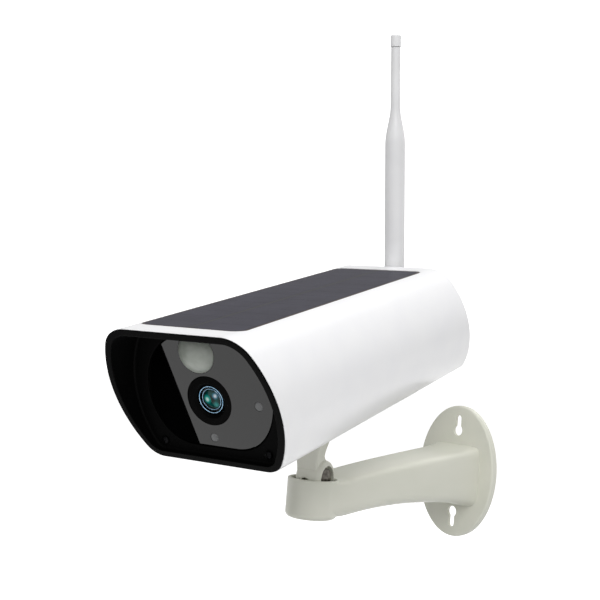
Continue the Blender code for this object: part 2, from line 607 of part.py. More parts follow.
def pan_joint():
    """Friction disc, yoke, washer and screw, stacked on the pan axis."""
    hole = BOLT_RADIUS + RUNNING_GAP
    reach = CUP_RADIUS - 0.5 * MM
    disc_bottom = -CUP_DEPTH + GAP
    disc_top = disc_bottom + FRICTION_DISC_THICKNESS
    turned("friction_disc", [(reach, disc_top), (reach, disc_bottom), (hole, disc_bottom),
                             (hole, disc_top)], NYLON, pan_axis, ring=True)

    base_bottom = disc_top + GAP
    base_top = base_bottom + YOKE_BASE_THICKNESS
    thread_end = base_top - 0.8 * MM
    axis_place = (0, 0, TILT_AXIS_HEIGHT)
    yoke = add("pan_yoke", rod_mesh("pan_yoke", reach, base_bottom, base_top, 36),
               BRACKET_WHITE, pan_axis)
    neck = TILT_AXIS_HEIGHT - base_top + OVER
    join_with(yoke, box_mesh("yoke_neck", (2 * TONGUE_HALF_WIDTH, 2 * NECK_HALF_DEPTH, neck),
                             (0, 0, TILT_AXIS_HEIGHT - neck / 2)), pan_axis)
    tongue = TONGUE_HALF_WIDTH + 0.01 * MM  # a hair wider than the neck, so the faces don't meet
    join_with(yoke, rod_mesh("yoke_tongue", TONGUE_RADIUS, -tongue, tongue, 28),
              pan_axis, axis_place, SIDEWAYS)
    cut_with(yoke, rod_mesh("tongue_hole", hole, -tongue - OVER, tongue + OVER, 20),
             pan_axis, axis_place, SIDEWAYS)
    cut_with(yoke, rod_mesh("yoke_thread", hole, base_bottom - OVER, thread_end, 20), pan_axis)

    washer_top = -TIP_HEIGHT + SCREW_POCKET_DEPTH - GAP
    washer_bottom = washer_top - WASHER_THICKNESS
    washer = SCREW_POCKET_RADIUS - 0.5 * MM
    turned("pan_washer", [(washer, washer_top), (washer, washer_bottom), (hole, washer_bottom),
                          (hole, washer_top)], STEEL, pan_axis, ring=True, segments=24)

    head_top = washer_bottom - GAP
    head_bottom = head_top - PAN_SCREW_HEAD
    head = PAN_SCREW_HEAD_RADIUS
    screw_end = thread_end - 0.6 * MM
    screw = turned("pan_screw", [(0, screw_end), (BOLT_RADIUS, screw_end), (BOLT_RADIUS, head_top),
                                 (head, head_top), (head, head_top - 1.2 * MM),
                                 (head - 1.0 * MM, head_bottom), (0, head_bottom)],
                   STEEL, pan_axis, segments=24)
    cut_cross(screw, "pan_screw", (head, PAN_SCREW_SLOT, 1.2 * MM), pan_axis, (0, 0, head_bottom))


def tilt_joint():
    """Knuckle, its bolt and nut, and the stud that the head screws on to."""
    top = POST_HEIGHT - GAP
    sections = [(-3 * MM, POST_HALF_WIDTH, 4 * MM),
                (POST_FOOT_HEIGHT, POST_HALF_WIDTH, POST_BACK_FOOT),
                (POST_WAIST_HEIGHT, POST_HALF_WIDTH, POST_BACK_WAIST),
                (POST_TOP_HEIGHT, POST_TOP_HALF_WIDTH, POST_BACK_TOP),
                (top, POST_TOP_HALF_WIDTH, POST_BACK_TOP)]
    loops = []
    for z, half_width, back in sections:
        outline = rounded_rectangle(2 * half_width, back - POST_FRONT, POST_EDGE, 2)
        loops.append([(x, y + (back + POST_FRONT) / 2, z) for x, y in outline])
    knuckle = add("tilt_knuckle", loft_mesh("tilt_knuckle", loops), BRACKET_WHITE, tilt_axis)
    rounded = [(BARREL_RADIUS - BARREL_EDGE * (1 - sin(a)), BARREL_EDGE * (1 - cos(a)))
               for a in (0, radians(30), radians(60), radians(90))]
    profile = [(0, BARREL_HALF_LENGTH)] + [(r, BARREL_HALF_LENGTH - x) for r, x in rounded]
    profile += [(r, x - BARREL_NUT_SIDE) for r, x in reversed(rounded)] + [(0, -BARREL_NUT_SIDE)]
    barrel = turned("barrel_solid", profile, None, tilt_axis, (0, 0, 0), SIDEWAYS, 36)
    boolean(knuckle, barrel, "UNION")

    # slot for the yoke's tongue, opened fore and aft for the neck at both tilt limits
    slot = TONGUE_HALF_WIDTH + GAP
    cut_with(knuckle, rod_mesh("tongue_slot", TONGUE_RADIUS + TONGUE_CLEARANCE, -slot, slot, 28),
             tilt_axis, (0, 0, 0), SIDEWAYS)
    reach = BARREL_RADIUS + 5 * MM
    fan = [(0, 0)] + [(-reach * sin(radians(a)), -reach * cos(radians(a)))
                      for a in (88, 60, 30, 0, -25, -48)]
    fan_mesh = prism_mesh("neck_slot", fan, -slot, slot)
    fan_mesh.transform(ACROSS)
    cut_with(knuckle, fan_mesh, tilt_axis)

    past = BARREL_HALF_LENGTH + 3 * OVER
    seat = BARREL_HALF_LENGTH - BOLT_RECESS_DEPTH
    nut_seat = -BARREL_NUT_SIDE + NUT_RECESS_DEPTH
    hole = BOLT_RADIUS + RUNNING_GAP
    for name, radius, start, end, segments in (
            ("tilt_bolt_hole", hole, -past, past, 20),
            ("bolt_recess", BOLT_RECESS_RADIUS, seat, past, 32),
            ("nut_recess", NUT_RADIUS + 0.8 * MM, -past, nut_seat, 24)):
        cut_with(knuckle, rod_mesh(name, radius, start, end, segments), tilt_axis, (0, 0, 0),
                 SIDEWAYS)
    cut_with(knuckle, rod_mesh("slot_relief", SLOT_RELIEF_RADIUS, 0.6 * BARREL_RADIUS,
                               BARREL_RADIUS + 3 * OVER, 16), tilt_axis, (0, 0, 0), FORWARD)
    cut_with(knuckle, rod_mesh("stud_hole", STUD_RADIUS + RUNNING_GAP, top - STUD_DEPTH - OVER,
                               top + OVER, 20), tilt_axis, (0, STUD_Y, 0))

    head_base = seat + GAP
    crown = BOLT_HEAD_RISE - BOLT_HEAD_EDGE
    bolt_end = -BARREL_NUT_SIDE + 0.2 * MM
    bolt = [(0, head_base + BOLT_HEAD_RISE)]
    bolt += [(BOLT_HEAD_RADIUS * sin(a), head_base + BOLT_HEAD_EDGE + crown * cos(a))
             for a in (radians(25), radians(50), radians(70), radians(90))]
    bolt += [(BOLT_HEAD_RADIUS, head_base), (BOLT_RADIUS, head_base), (BOLT_RADIUS, bolt_end),
             (0, bolt_end)]
    turned("tilt_bolt", bolt, STEEL, tilt_axis, (0, 0, 0), SIDEWAYS, 32)
    nut_top = nut_seat - GAP
    nut = add("tilt_nut", rod_mesh("tilt_nut", NUT_RADIUS, nut_top - NUT_THICKNESS, nut_top, 6),
              STEEL, tilt_axis, (0, 0, 0), SIDEWAYS)
    cut_with(nut, rod_mesh("tilt_nut_thread", hole, -past, 0, 20), tilt_axis, (0, 0, 0), SIDEWAYS)

    stud_top = POST_HEIGHT + INSERT_HEIGHT - 1.5 * MM
    lead_in = 0.5 * MM
    turned("mount_stud", [(0, stud_top), (STUD_RADIUS - lead_in, stud_top),
                          (STUD_RADIUS, stud_top - lead_in), (STUD_RADIUS, top - STUD_DEPTH),
                          (0, top - STUD_DEPTH)],
           STEEL, tilt_axis, (0, STUD_Y, 0), segments=24)


# head body
def outer_sleeve():
    outline = sleeve_outline(0)
    bm = bmesh.new()
    front = [bm.verts.new(point) for point in at_rake(outline, -HALF_LENGTH)]
    back = [bm.verts.new(point) for point in at_rake(outline, HALF_LENGTH)]
    for i in range(len(outline)):
        j = (i + 1) % len(outline)
        bm.faces.new((front[i], front[j], back[j], back[i]))
    sleeve = add("outer_sleeve", mesh_of("outer_sleeve", bm), WHITE_PAINT, head)
    wall = sleeve.modifiers.new("wall", "SOLIDIFY")
    wall.thickness = SLEEVE_WALL
    wall.offset = -1
    window = rounded_rectangle(PANEL_WIDTH + 2 * GAP, PANEL_LENGTH + 2 * GAP,
                               PANEL_CORNER_RADIUS + GAP)
    inside = HALF_HEIGHT - SLEEVE_WALL - 4 * OVER
    cut_with(sleeve, prism_mesh("panel_window", window, inside, HALF_HEIGHT + OVER), head)
    cut_with(sleeve, rod_mesh("insert_hole", INSERT_RADIUS + GAP, -HALF_HEIGHT - OVER,
                              CHASSIS_FLOOR + OVER, 28), head, (0, STUD_HEAD_Y, 0))


def solar_panel():
    top = HALF_HEIGHT - PANEL_SUNK
    bottom = top - PANEL_THICKNESS
    outline = rounded_rectangle(PANEL_WIDTH, PANEL_LENGTH, PANEL_CORNER_RADIUS)
    panel = add("solar_panel", prism_mesh("solar_panel", outline, bottom, top), SOLAR_CELL, head)
    bevel(panel, 0.3 * MM, 1, radians(60))
    bed_top = bottom - GAP
    bed_bottom = bed_top - BED_THICKNESS
    bed_front = FACE_Y + FACE_PLATE - FACE_SLOPE * bed_bottom + GAP
    bed_back = CAP_Y - END_RAKE * bed_top - REAR_CAP_THICKNESS * ALONG_CAP - GAP
    bed = box_mesh("panel_bed", (PANEL_WIDTH - 2 * BED_MARGIN, bed_back - bed_front, BED_THICKNESS),
                   (0, (bed_back + bed_front) / 2, (bed_top + bed_bottom) / 2))
    add("panel_bed", bed, BLACK_PLASTIC, head)


def front_bezel():
    """Hood lining and face frame in one piece: a ring, skinned from its cross-section."""
    outside = sleeve_outline(SLEEVE_WALL + GAP)
    inside = sleeve_outline(LINING_INSET)
    seat = glass_outline(GAP)
    ledge = glass_outline(-GLASS_LEDGE)
    rim = -HALF_LENGTH + HOOD_INSET
    seat_depth = GLASS_THICKNESS + GAP
    loops = [at_rake(outside, rim), at_rake(inside, rim), at_face(inside, 0), at_face(seat, 0),
             at_face(seat, seat_depth), at_face(ledge, seat_depth), at_face(ledge, FACE_PLATE),
             at_face(outside, FACE_PLATE)]
    bezel = add("front_bezel", loft_mesh("front_bezel", loops, closed=True), BLACK_PLASTIC, head)
    cut_with(bezel, rod_mesh("dome_clearance", DOME_RADIUS + GAP, -FACE_PLATE - 3 * OVER,
                             DOME_RISE, 32), face, (DOME_SIDE, DOME_HEIGHT, 0))
    for side in (-1, 1):
        hole = rod_mesh(f"front_screw_hole_{side}", SMALL_SHANK_RADIUS + GAP,
                        -FRONT_SCREW_LENGTH - OVER, 4 * OVER, 16)
        cut_with(bezel, hole, face, (side * FRONT_SCREW_SPREAD, FRONT_SCREW_HEIGHT, 0))


def front_glass():
    glass = add("front_glass", prism_mesh("front_glass", glass_outline(0), -GLASS_THICKNESS, 0),
                SMOKED_ACRYLIC, face)
    holes = [("surround_hole", SURROUND_RADIUS, 0, LENS_HEIGHT, 40),
             ("dome_hole", DOME_RADIUS, DOME_SIDE, DOME_HEIGHT, 36),
             ("status_hole", WINDOW_RADIUS, 0, STATUS_HEIGHT, 16),
             ("left_window_hole", WINDOW_RADIUS, -WINDOW_SPREAD, LENS_HEIGHT, 16),
             ("right_window_hole", WINDOW_RADIUS, WINDOW_SPREAD, LENS_HEIGHT, 16)]
    for name, radius, x, height, segments in holes:
        cut_with(glass, rod_mesh(name, radius + RUNNING_GAP, -GLASS_THICKNESS - OVER, OVER,
                                 segments), face, (x, height, 0))


def face_windows():
    front = -0.05 * MM  # a hair behind the glass
    for name, x, height in (("ir_window_left", -WINDOW_SPREAD, LENS_HEIGHT),
                            ("ir_window_right", WINDOW_SPREAD, LENS_HEIGHT),
                            ("status_window", 0, STATUS_HEIGHT)):
        profile = [(0, front), (WINDOW_RADIUS, front), (WINDOW_RADIUS, -WINDOW_DEPTH),
                   (0, -WINDOW_DEPTH)]
        turned(name, profile, SMOKED_WINDOW, face, (x, height, 0), segments=16)


def front_screws():
    rise, edge = 1.7 * MM, 1.1 * MM
    for side, name in ((-1, "bezel_screw_left"), (1, "bezel_screw_right")):
        r = FRONT_SCREW_RADIUS
        place = (side * FRONT_SCREW_SPREAD, FRONT_SCREW_HEIGHT, 0)
        profile = [(0, rise), (0.6 * r, rise), (r, edge), (r, GAP), (SMALL_SHANK_RADIUS, GAP),
                   (SMALL_SHANK_RADIUS, -FRONT_SCREW_LENGTH), (0, -FRONT_SCREW_LENGTH)]
        screw = turned(name, profile, BLACK_STEEL, face, place, segments=16)
        cut_cross(screw, name, (1.1 * r, CROSS_SLOT, 0.6 * MM), face,
                  (place[0], place[1], rise))


def motion_sensor():
    """Milky dome over the heat sensor, flanged behind the glass, and the sensor's board."""
    place = (DOME_SIDE, DOME_HEIGHT, 0)
    curve = (DOME_RADIUS ** 2 + DOME_RISE ** 2) / (2 * DOME_RISE)
    half = asin(DOME_RADIUS / curve)
    centre = DOME_RISE - curve
    back = -GLASS_THICKNESS - DOME_FLANGE
    outer = [(curve * sin(half * i / 7), centre + curve * cos(half * i / 7)) for i in range(8)]
    hollow = curve - DOME_WALL
    inner = [(hollow * sin(half * i / 5), centre + hollow * cos(half * i / 5))
             for i in range(4, -1, -1)]
    profile = outer + [(DOME_RADIUS, back), (DOME_RADIUS - DOME_WALL, back)] + inner
    turned("motion_dome", profile, FRESNEL_PLASTIC, face, place, segments=32)
    can = [(0, back + HEAT_SENSOR_HEIGHT), (HEAT_SENSOR_RADIUS, back + HEAT_SENSOR_HEIGHT),
           (HEAT_SENSOR_RADIUS, back), (0, back)]
    turned("motion_sensor", can, STEEL, face, place, segments=20)
    board = rod_mesh("motion_board", DOME_RADIUS - RUNNING_GAP, back - GAP - 1.2 * MM, back - GAP,
                     28)
    add("motion_board", board, BOARD_GREEN, face, place)


def lens():
    """Black surround in the glass, coated front element, barrel, holder and sensor board."""
    place = (0, LENS_HEIGHT, 0)
    bore = LENS_RADIUS + GAP
    chamfer = 1.4 * MM
    surround = [(SURROUND_RADIUS, 0), (SURROUND_RADIUS, -SURROUND_DEPTH), (bore, -SURROUND_DEPTH),
                (bore, -chamfer), (bore + chamfer, 0)]
    turned("lens_surround", surround, BLACK_PLASTIC, face, place, segments=40, ring=True)

    front = -LENS_RECESS
    edge = 0.4 * MM
    lip = LENS_RADIUS - LENS_LIP
    seat = front - ELEMENT_SEAT
    barrel = [(LENS_RADIUS - edge, front), (LENS_RADIUS, front - edge), (LENS_RADIUS, BARREL_BACK),
              (LENS_BORE, BARREL_BACK), (LENS_BORE, seat), (lip, seat), (lip, front)]
    turned("lens_barrel", barrel, BLACK_PLASTIC, face, place, segments=32, ring=True)

    rim = lip - RUNNING_GAP
    bulge, rim_front = 1.3 * MM, front - 1.6 * MM
    element = [(rim * sin(radians(a)), rim_front + bulge * cos(radians(a)))
               for a in (0, 22, 44, 66, 90)]
    element += [(rim, seat + GAP), (0, seat + GAP)]
    turned("lens_front_element", element, COATED_GLASS, face, place, segments=32)

    holder_front = BARREL_BACK - GAP
    holder = box_mesh("lens_holder", (LENS_HOLDER_SIDE, LENS_HOLDER_SIDE, LENS_HOLDER_DEPTH),
                      (0, 0, holder_front - LENS_HOLDER_DEPTH / 2))
    holder = add("lens_holder", holder, BLACK_PLASTIC, face, place)
    bevel(holder, 1 * MM, 2)
    cut_with(holder, rod_mesh("holder_bore", LENS_BORE, holder_front - LENS_HOLDER_DEPTH - OVER,
                              holder_front + OVER, 24), face, place)

    board_front = holder_front - LENS_HOLDER_DEPTH - GAP
    board_back = board_front - BOARD_THICKNESS
    board = prism_mesh("sensor_board", rounded_rectangle(*SENSOR_BOARD, 2 * MM, 2), board_back,
                       board_front)
    board = add("sensor_board", board, BOARD_GREEN, face, place)
    sunk = 0.2 * MM
    join_with(board, box_mesh("image_sensor", IMAGE_SENSOR,
                              (0, 0, board_front + IMAGE_SENSOR[2] / 2 - sunk)), face, place)
    return board_back


# inside the head
def chassis(board_back):
    """Floor, carrier for the sensor board, pillars, and the insert that takes the stud."""
    middle = (CHASSIS_FRONT + CHASSIS_BACK) / 2
    size = (CHASSIS_WIDTH, CHASSIS_BACK - CHASSIS_FRONT, CHASSIS_THICKNESS)
    base = add("inner_chassis", box_mesh("inner_chassis", size,
                                         (0, middle, CHASSIS_FLOOR + CHASSIS_THICKNESS / 2)),
               BLACK_PLASTIC, head)
    # the carrier stands on the floor behind the sensor board, parallel to the face
    carrier_front = board_back - GAP
    carrier_foot = CHASSIS_FLOOR + OVER + FACE_SLOPE * (carrier_front - CARRIER_THICKNESS)
    join_with(base, box_mesh("board_carrier", (CARRIER_WIDTH, CARRIER_TOP - carrier_foot,
                                               CARRIER_THICKNESS),
                             (0, (CARRIER_TOP + carrier_foot) / 2,
                              carrier_front - CARRIER_THICKNESS / 2)), face)
    for side in (-1, 1):
        for name, pillar, y in (
                ("front", FRONT_PILLAR, CHASSIS_FRONT + FRONT_PILLAR[1] / 2),
                ("rear", REAR_PILLAR, CHASSIS_BACK - REAR_PILLAR_SETBACK - REAR_PILLAR[1] / 2)):
            x = CHASSIS_WIDTH / 2 - OVER - pillar[0] / 2
            join_with(base, box_mesh(f"{name}_pillar_{side}", pillar,
                                     (side * x, y, CHASSIS_FLOOR + pillar[2] / 2)), head)
    cut_with(base, rod_mesh("insert_seat", INSERT_FLANGE_RADIUS + GAP, CHASSIS_FLOOR - OVER,
                            CHASSIS_TOP + OVER, 28), head, (0, STUD_HEAD_Y, 0))

    bore = STUD_RADIUS + RUNNING_GAP
    bush_top, bush_bottom = -HALF_HEIGHT + INSERT_HEIGHT, -HALF_HEIGHT + 0.1 * MM
    bush = [(INSERT_RADIUS, bush_top), (INSERT_RADIUS, CHASSIS_TOP),
            (INSERT_FLANGE_RADIUS, CHASSIS_TOP), (INSERT_FLANGE_RADIUS, CHASSIS_FLOOR),
            (INSERT_RADIUS, CHASSIS_FLOOR), (INSERT_RADIUS, bush_bottom), (bore, bush_bottom),
            (bore, bush_top)]
    turned("mount_insert", bush, BRASS, head, (0, STUD_HEAD_Y, 0), segments=28, ring=True)


def batteries():
    """Cells side by side in a holder that stands on the chassis and carries the main board."""
    holder_bottom = CHASSIS_TOP + GAP
    holder_top = holder_bottom + HOLDER_FLOOR
    front = CELL_FRONT - GAP - HOLDER_WALL - 0.3 * MM
    back = CELL_FRONT + CELL_LENGTH + GAP + HOLDER_WALL + 0.3 * MM
    middle = (front + back) / 2
    holder = add("battery_holder", box_mesh("battery_holder", (HOLDER_WIDTH, back - front,
                                                               HOLDER_FLOOR),
                                            (0, middle, (holder_top + holder_bottom) / 2)),
                 BLACK_PLASTIC, head)
    wall_bottom = holder_bottom + 0.2 * MM
    wall_top = BOARD_HEIGHT - GAP
    for name, y in (("front", front + 1.1 * MM), ("back", back - 1.1 * MM)):
        join_with(holder, box_mesh(f"holder_{name}_wall", (HOLDER_WIDTH - 0.4 * MM, HOLDER_WALL,
                                                           wall_top - wall_bottom),
                                   (0, y, (wall_top + wall_bottom) / 2)), head)
    cut_with(holder, rod_mesh("holder_insert_hole", INSERT_RADIUS + OVER, holder_bottom - OVER,
                              holder_top + OVER, 24), head, (0, STUD_HEAD_Y, 0))

    shoulder = CELL_LENGTH - CELL_TERMINAL
    for i in range(CELL_COUNT):
        x = (i - (CELL_COUNT - 1) / 2) * CELL_PITCH
        profile = [(0, CELL_LENGTH), (CELL_TERMINAL_RADIUS, CELL_LENGTH),
                   (CELL_TERMINAL_RADIUS, shoulder), (CELL_RADIUS - 0.6 * MM, shoulder),
                   (CELL_RADIUS, shoulder - 0.6 * MM), (CELL_RADIUS, 0), (0, 0)]
        turned(f"battery_{i + 1}", profile, CELL_WRAP, head, (x, CELL_FRONT, CELL_HEIGHT),
               BACKWARD, segments=24)

    board_top = BOARD_HEIGHT + BOARD_THICKNESS
    board = add("main_board", box_mesh("main_board", (HOLDER_WIDTH - MM, back - front - MM,
                                                      BOARD_THICKNESS),
                                       (0, middle, (BOARD_HEIGHT + board_top) / 2)),
                BOARD_GREEN, head)
    sunk = 0.2 * MM
    # the largest components: their sizes, and their places on the board, in millimetres
    for name, (sx, sy, sz), (x, y) in (
            ("processor_shield", (20, 20, 2.6), (-14, 0)), ("radio_module", (14, 18, 2.4), (16, 18)),
            ("battery_plug", (10, 6, 6), (24, -24)), ("panel_plug", (8, 6, 6), (-26, -24)),
            ("charge_coil", (8, 8, 4), (20, -6))):
        join_with(board, box_mesh(name, (sx * MM, sy * MM, sz * MM),
                                  (x * MM, middle + y * MM, board_top + sz / 2 * MM - sunk)), head)


# rear
def rear_cap():
    """Raked plate with a boss for the antenna connector and a pocket for the port cover."""
    outside = sleeve_outline(SLEEVE_WALL + GAP)
    rear_plane = HALF_LENGTH - REAR_RECESS
    loops = [at_rake(outside, rear_plane - REAR_CAP_THICKNESS * ALONG_CAP),
             at_rake(outside, rear_plane)]
    cap = add("rear_cap", loft_mesh("rear_cap", loops), BLACK_PLASTIC, head)
    axis = (0, 0, CONNECTOR_HEIGHT)
    join_with(cap, rod_mesh("connector_boss", CONNECTOR_BOSS_RADIUS, BOSS_BACK, BOSS_FACE, 28),
              head, axis, BACKWARD)
    cut_with(cap, rod_mesh("connector_hole", CONNECTOR_RADIUS + RUNNING_GAP,
                           BOSS_BACK - CONNECTOR_BOSS_DEPTH, BOSS_FACE + 5 * OVER, 20),
             head, axis, BACKWARD)
    cover = rounded_rectangle(PORT_COVER_WIDTH + 2 * GAP, PORT_COVER_HEIGHT + 2 * GAP,
                              PORT_POCKET_CORNER, 3)
    cut_with(cap, prism_mesh("port_pocket", cover, -PORT_COVER_THICKNESS - GAP, 5 * OVER), rear,
             on_cap(0, PORT_COVER_CENTRE))
    return cap


def rear_screws(cap):
    r = REAR_SCREW_RADIUS
    end = -REAR_CAP_THICKNESS - FITTING_DEPTH
    head_top, head_edge, head_base = -0.3 * MM, -0.8 * MM, -REAR_SCREW_SINK + GAP
    for i, (sx, sz) in enumerate(((-1, 1), (1, 1), (-1, -1), (1, -1))):
        place = on_cap(sx * REAR_SCREW_SPREAD, sz * REAR_SCREW_HEIGHT)
        cut_with(cap, rod_mesh(f"rear_screw_hole_{i}", SMALL_SHANK_RADIUS + RUNNING_GAP,
                               end - OVER, OVER, 12), rear, place)
        cut_with(cap, rod_mesh(f"rear_screw_sink_{i}", r + GAP, -REAR_SCREW_SINK, OVER, 16),
                 rear, place)
        name = f"rear_screw_{i + 1}"
        profile = [(0, head_top), (0.7 * r, head_top), (r, head_edge), (r, head_base),
                   (SMALL_SHANK_RADIUS, head_base), (SMALL_SHANK_RADIUS, end), (0, end)]
        screw = turned(name, profile, BLACK_STEEL, rear, place, segments=16)
        cut_cross(screw, name, (1.1 * r, CROSS_SLOT, 0.8 * MM), rear,
                  (place[0], place[1], head_top))


def ports(cap):
    """Charging socket, card slot and reset pin, on the floor of the cover's pocket."""
    front = -PORT_COVER_THICKNESS - GAP - 0.2 * MM
    back = -REAR_CAP_THICKNESS - FITTING_DEPTH

    place = on_cap(USB_X, PORT_COVER_CENTRE)
    width, height = USB_SHELL
    hole = rounded_rectangle(width + 2 * GAP, height + 2 * GAP, USB_CORNER + GAP, 3)
    cut_with(cap, prism_mesh("usb_hole", hole, back, OVER), rear, place)
    shell = rounded_rectangle(width, height, USB_CORNER, 3)
    usb = add("usb_socket", prism_mesh("usb_socket", shell, back, front), STEEL, rear, place)
    mouth = rounded_rectangle(width - 2 * USB_WALL, height - 2 * USB_WALL, USB_CORNER - USB_WALL,
                              3)
    cut_with(usb, prism_mesh("usb_mouth", mouth, front - USB_MOUTH_DEPTH, OVER), rear, place)
    join_with(usb, box_mesh("usb_tongue", (6 * MM, 0.7 * MM, USB_MOUTH_DEPTH - 0.4 * MM),
                            (0, 0, front - USB_MOUTH_DEPTH / 2 - 0.4 * MM)), rear, place)

    place = on_cap(CARD_X, PORT_COVER_CENTRE)
    width, height = CARD_SLOT
    hole = (width + 2 * GAP, height + 2 * GAP, OVER - back)
    cut_with(cap, box_mesh("card_hole", hole, (0, 0, (OVER + back) / 2)), rear, place)
    card = add("card_slot", box_mesh("card_slot", (width, height, front - back),
                                     (0, 0, (front + back) / 2)), STEEL, rear, place)
    mouth = (width - 2 * CARD_WALL, height - 2 * CARD_WALL, 2 * CARD_MOUTH_DEPTH)
    cut_with(card, box_mesh("card_mouth", mouth, (0, 0, front)), rear, place)

    place = on_cap(RESET_X, PORT_COVER_CENTRE)
    cut_with(cap, rod_mesh("reset_hole", RESET_BUTTON_RADIUS + RUNNING_GAP, back - OVER, OVER, 16),
             rear, place)
    # the pin stands back from the cover by no more than its travel
    pin_front = front + 0.2 * MM - min(GAP, RESET_BUTTON_TRAVEL)
    turned("reset_button", [(0, pin_front), (RESET_BUTTON_RADIUS, pin_front),
                            (RESET_BUTTON_RADIUS, back), (0, back)],
           BLACK_PLASTIC, rear, place, segments=16)


def power_button(cap):
    """Rubber button that stands proud of the cap by a little more than its travel."""
    place = on_cap(0, POWER_BUTTON_HEIGHT)
    back = -REAR_CAP_THICKNESS - FITTING_DEPTH
    r = POWER_BUTTON_RADIUS
    rise = POWER_BUTTON_TRAVEL + 0.2 * MM
    cut_with(cap, rod_mesh("power_hole", r + RUNNING_GAP, back - OVER, OVER, 24), rear, place)
    turned("power_button", [(0, rise), (r - 0.6 * MM, rise - 0.1 * MM), (r, rise - 0.6 * MM),
                            (r, back), (0, back)], BLACK_RUBBER, rear, place, segments=24)


def sound(cap):
    """Speaker behind a grille of round holes, and the microphone behind its own small hole."""
    deep = -REAR_CAP_THICKNESS - FITTING_DEPTH
    back = -REAR_CAP_THICKNESS - GAP
    place = on_cap(-SPEAKER_SPREAD, SPEAKER_HEIGHT)
    for k, (x, y) in enumerate([(0, 0)] + circle(GRILLE_RING_RADIUS, 6)):
        cut_with(cap, rod_mesh(f"grille_hole_{k}", GRILLE_HOLE_RADIUS, deep, OVER, 10), rear,
                 (place[0] + x, place[1] + y, 0))
    basket = 2 * MM
    turned("speaker", [(0, back), (SPEAKER_RADIUS, back), (SPEAKER_RADIUS, back - basket),
                       (0.6 * SPEAKER_RADIUS, back - SPEAKER_DEPTH), (0, back - SPEAKER_DEPTH)],
           BLACK_STEEL, rear, place, segments=24)
    place = on_cap(SPEAKER_SPREAD, SPEAKER_HEIGHT)
    cut_with(cap, rod_mesh("microphone_hole", MICROPHONE_HOLE_RADIUS, deep, OVER, 10), rear, place)
    turned("microphone", [(0, back), (MICROPHONE_RADIUS, back),
                          (MICROPHONE_RADIUS, back - MICROPHONE_DEPTH),
                          (0, back - MICROPHONE_DEPTH)], STEEL, rear, place, segments=20)


def port_cover():
    """Rubber flap; its hinge is its top edge, at half its thickness."""
    half = PORT_COVER_THICKNESS / 2
    edge = PORT_COVER_CENTRE + (PORT_COVER_HEIGHT / 2 - half) / ALONG_CAP
    x, y, _ = on_cap(0, edge)
    hinge = empty("port_cover_axis", rear, (x, y, -half))
    free_edge = PORT_COVER_HEIGHT - half
    side = [(-half * sin(radians(a)), half * cos(radians(a))) for a in range(180, -1, -30)]
    side += [(free_edge, half), (free_edge, -half)]
    mesh = prism_mesh("port_cover", side, -PORT_COVER_WIDTH / 2, PORT_COVER_WIDTH / 2)
    mesh.transform(ACROSS)
    flap = add("port_cover", mesh, BLACK_RUBBER, hinge)
    _, lip_depth, lip_height = FINGER_LIP
    join_with(flap, box_mesh("finger_lip", FINGER_LIP,
                             (0, free_edge - lip_depth, half + lip_height / 2 - 0.3 * MM)), hinge)


# antenna
def antenna_mount():
    """Threaded connector through the boss, with its nut outside."""
    axis = (0, 0, CONNECTOR_HEIGHT)
    r, flange = CONNECTOR_RADIUS, CONNECTOR_FLANGE_RADIUS
    tip = BOSS_FACE + CONNECTOR_LENGTH
    flange_front = BOSS_BACK - GAP
    flange_back = flange_front - CONNECTOR_FLANGE
    turned("antenna_connector", [(0, tip), (r, tip), (r, flange_front), (flange, flange_front),
                                 (flange, flange_back), (0, flange_back)],
           GOLD_PLATE, head, axis, BACKWARD, 20)
    nut_bottom = BOSS_FACE + GAP
    nut = add("antenna_nut", rod_mesh("antenna_nut", flange, nut_bottom,
                                      nut_bottom + CONNECTOR_NUT, 6),
              GOLD_PLATE, head, axis, BACKWARD)
    cut_with(nut, rod_mesh("antenna_nut_thread", r + RUNNING_GAP, nut_bottom - OVER,
                           nut_bottom + CONNECTOR_NUT + OVER, 20), head, axis, BACKWARD)


def antenna_elbow(swivel_axis):
    """Socket on the connector, with two ears that hold the rod's hinge pin."""
    start = ELBOW_STANDOFF - HINGE_SETBACK
    elbow = add("antenna_elbow", rod_mesh("antenna_elbow", ELBOW_RADIUS, start, start + ELBOW_CUP,
                                          28), ANTENNA_WHITE, swivel_axis, (0, 0, 0), BACKWARD)
    foot = start + 0.1 * MM
    join_with(elbow, box_mesh("elbow_cheeks", (2 * EAR_OUTSIDE, -foot, 2 * EAR_RADIUS),
                              (0, foot / 2, 0)), swivel_axis)
    outside = EAR_OUTSIDE + 0.01 * MM  # a hair outside the cheeks, so the faces don't meet
    join_with(elbow, rod_mesh("elbow_ears", EAR_RADIUS + 0.01 * MM, -outside, outside, 24),
              swivel_axis, (0, 0, 0), SIDEWAYS)
    slot_floor = start + ELBOW_FLOOR
    slot_end = EAR_RADIUS + 7.5 * OVER
    cut_with(elbow, box_mesh("elbow_slot", (2 * EAR_INSIDE, slot_end - slot_floor,
                                            4 * ELBOW_RADIUS),
                             (0, (slot_end + slot_floor) / 2, 0)), swivel_axis)
    cut_with(elbow, rod_mesh("elbow_socket", CONNECTOR_RADIUS + RUNNING_GAP, start - OVER,
                             start + ELBOW_SOCKET_DEPTH, 20), swivel_axis, (0, 0, 0), BACKWARD)
    pin_hole = HINGE_PIN_RADIUS + RUNNING_GAP
    cut_with(elbow, rod_mesh("elbow_pin_hole", pin_hole, -EAR_OUTSIDE - OVER, EAR_OUTSIDE + OVER,
                             16), swivel_axis, (0, 0, 0), SIDEWAYS)
    end = EAR_OUTSIDE + 0.3 * MM
    turned("antenna_hinge_pin", [(0, end), (HINGE_PIN_RADIUS, end), (HINGE_PIN_RADIUS, -end),
                                 (0, -end)], STEEL, swivel_axis, (0, 0, 0), SIDEWAYS, 16)


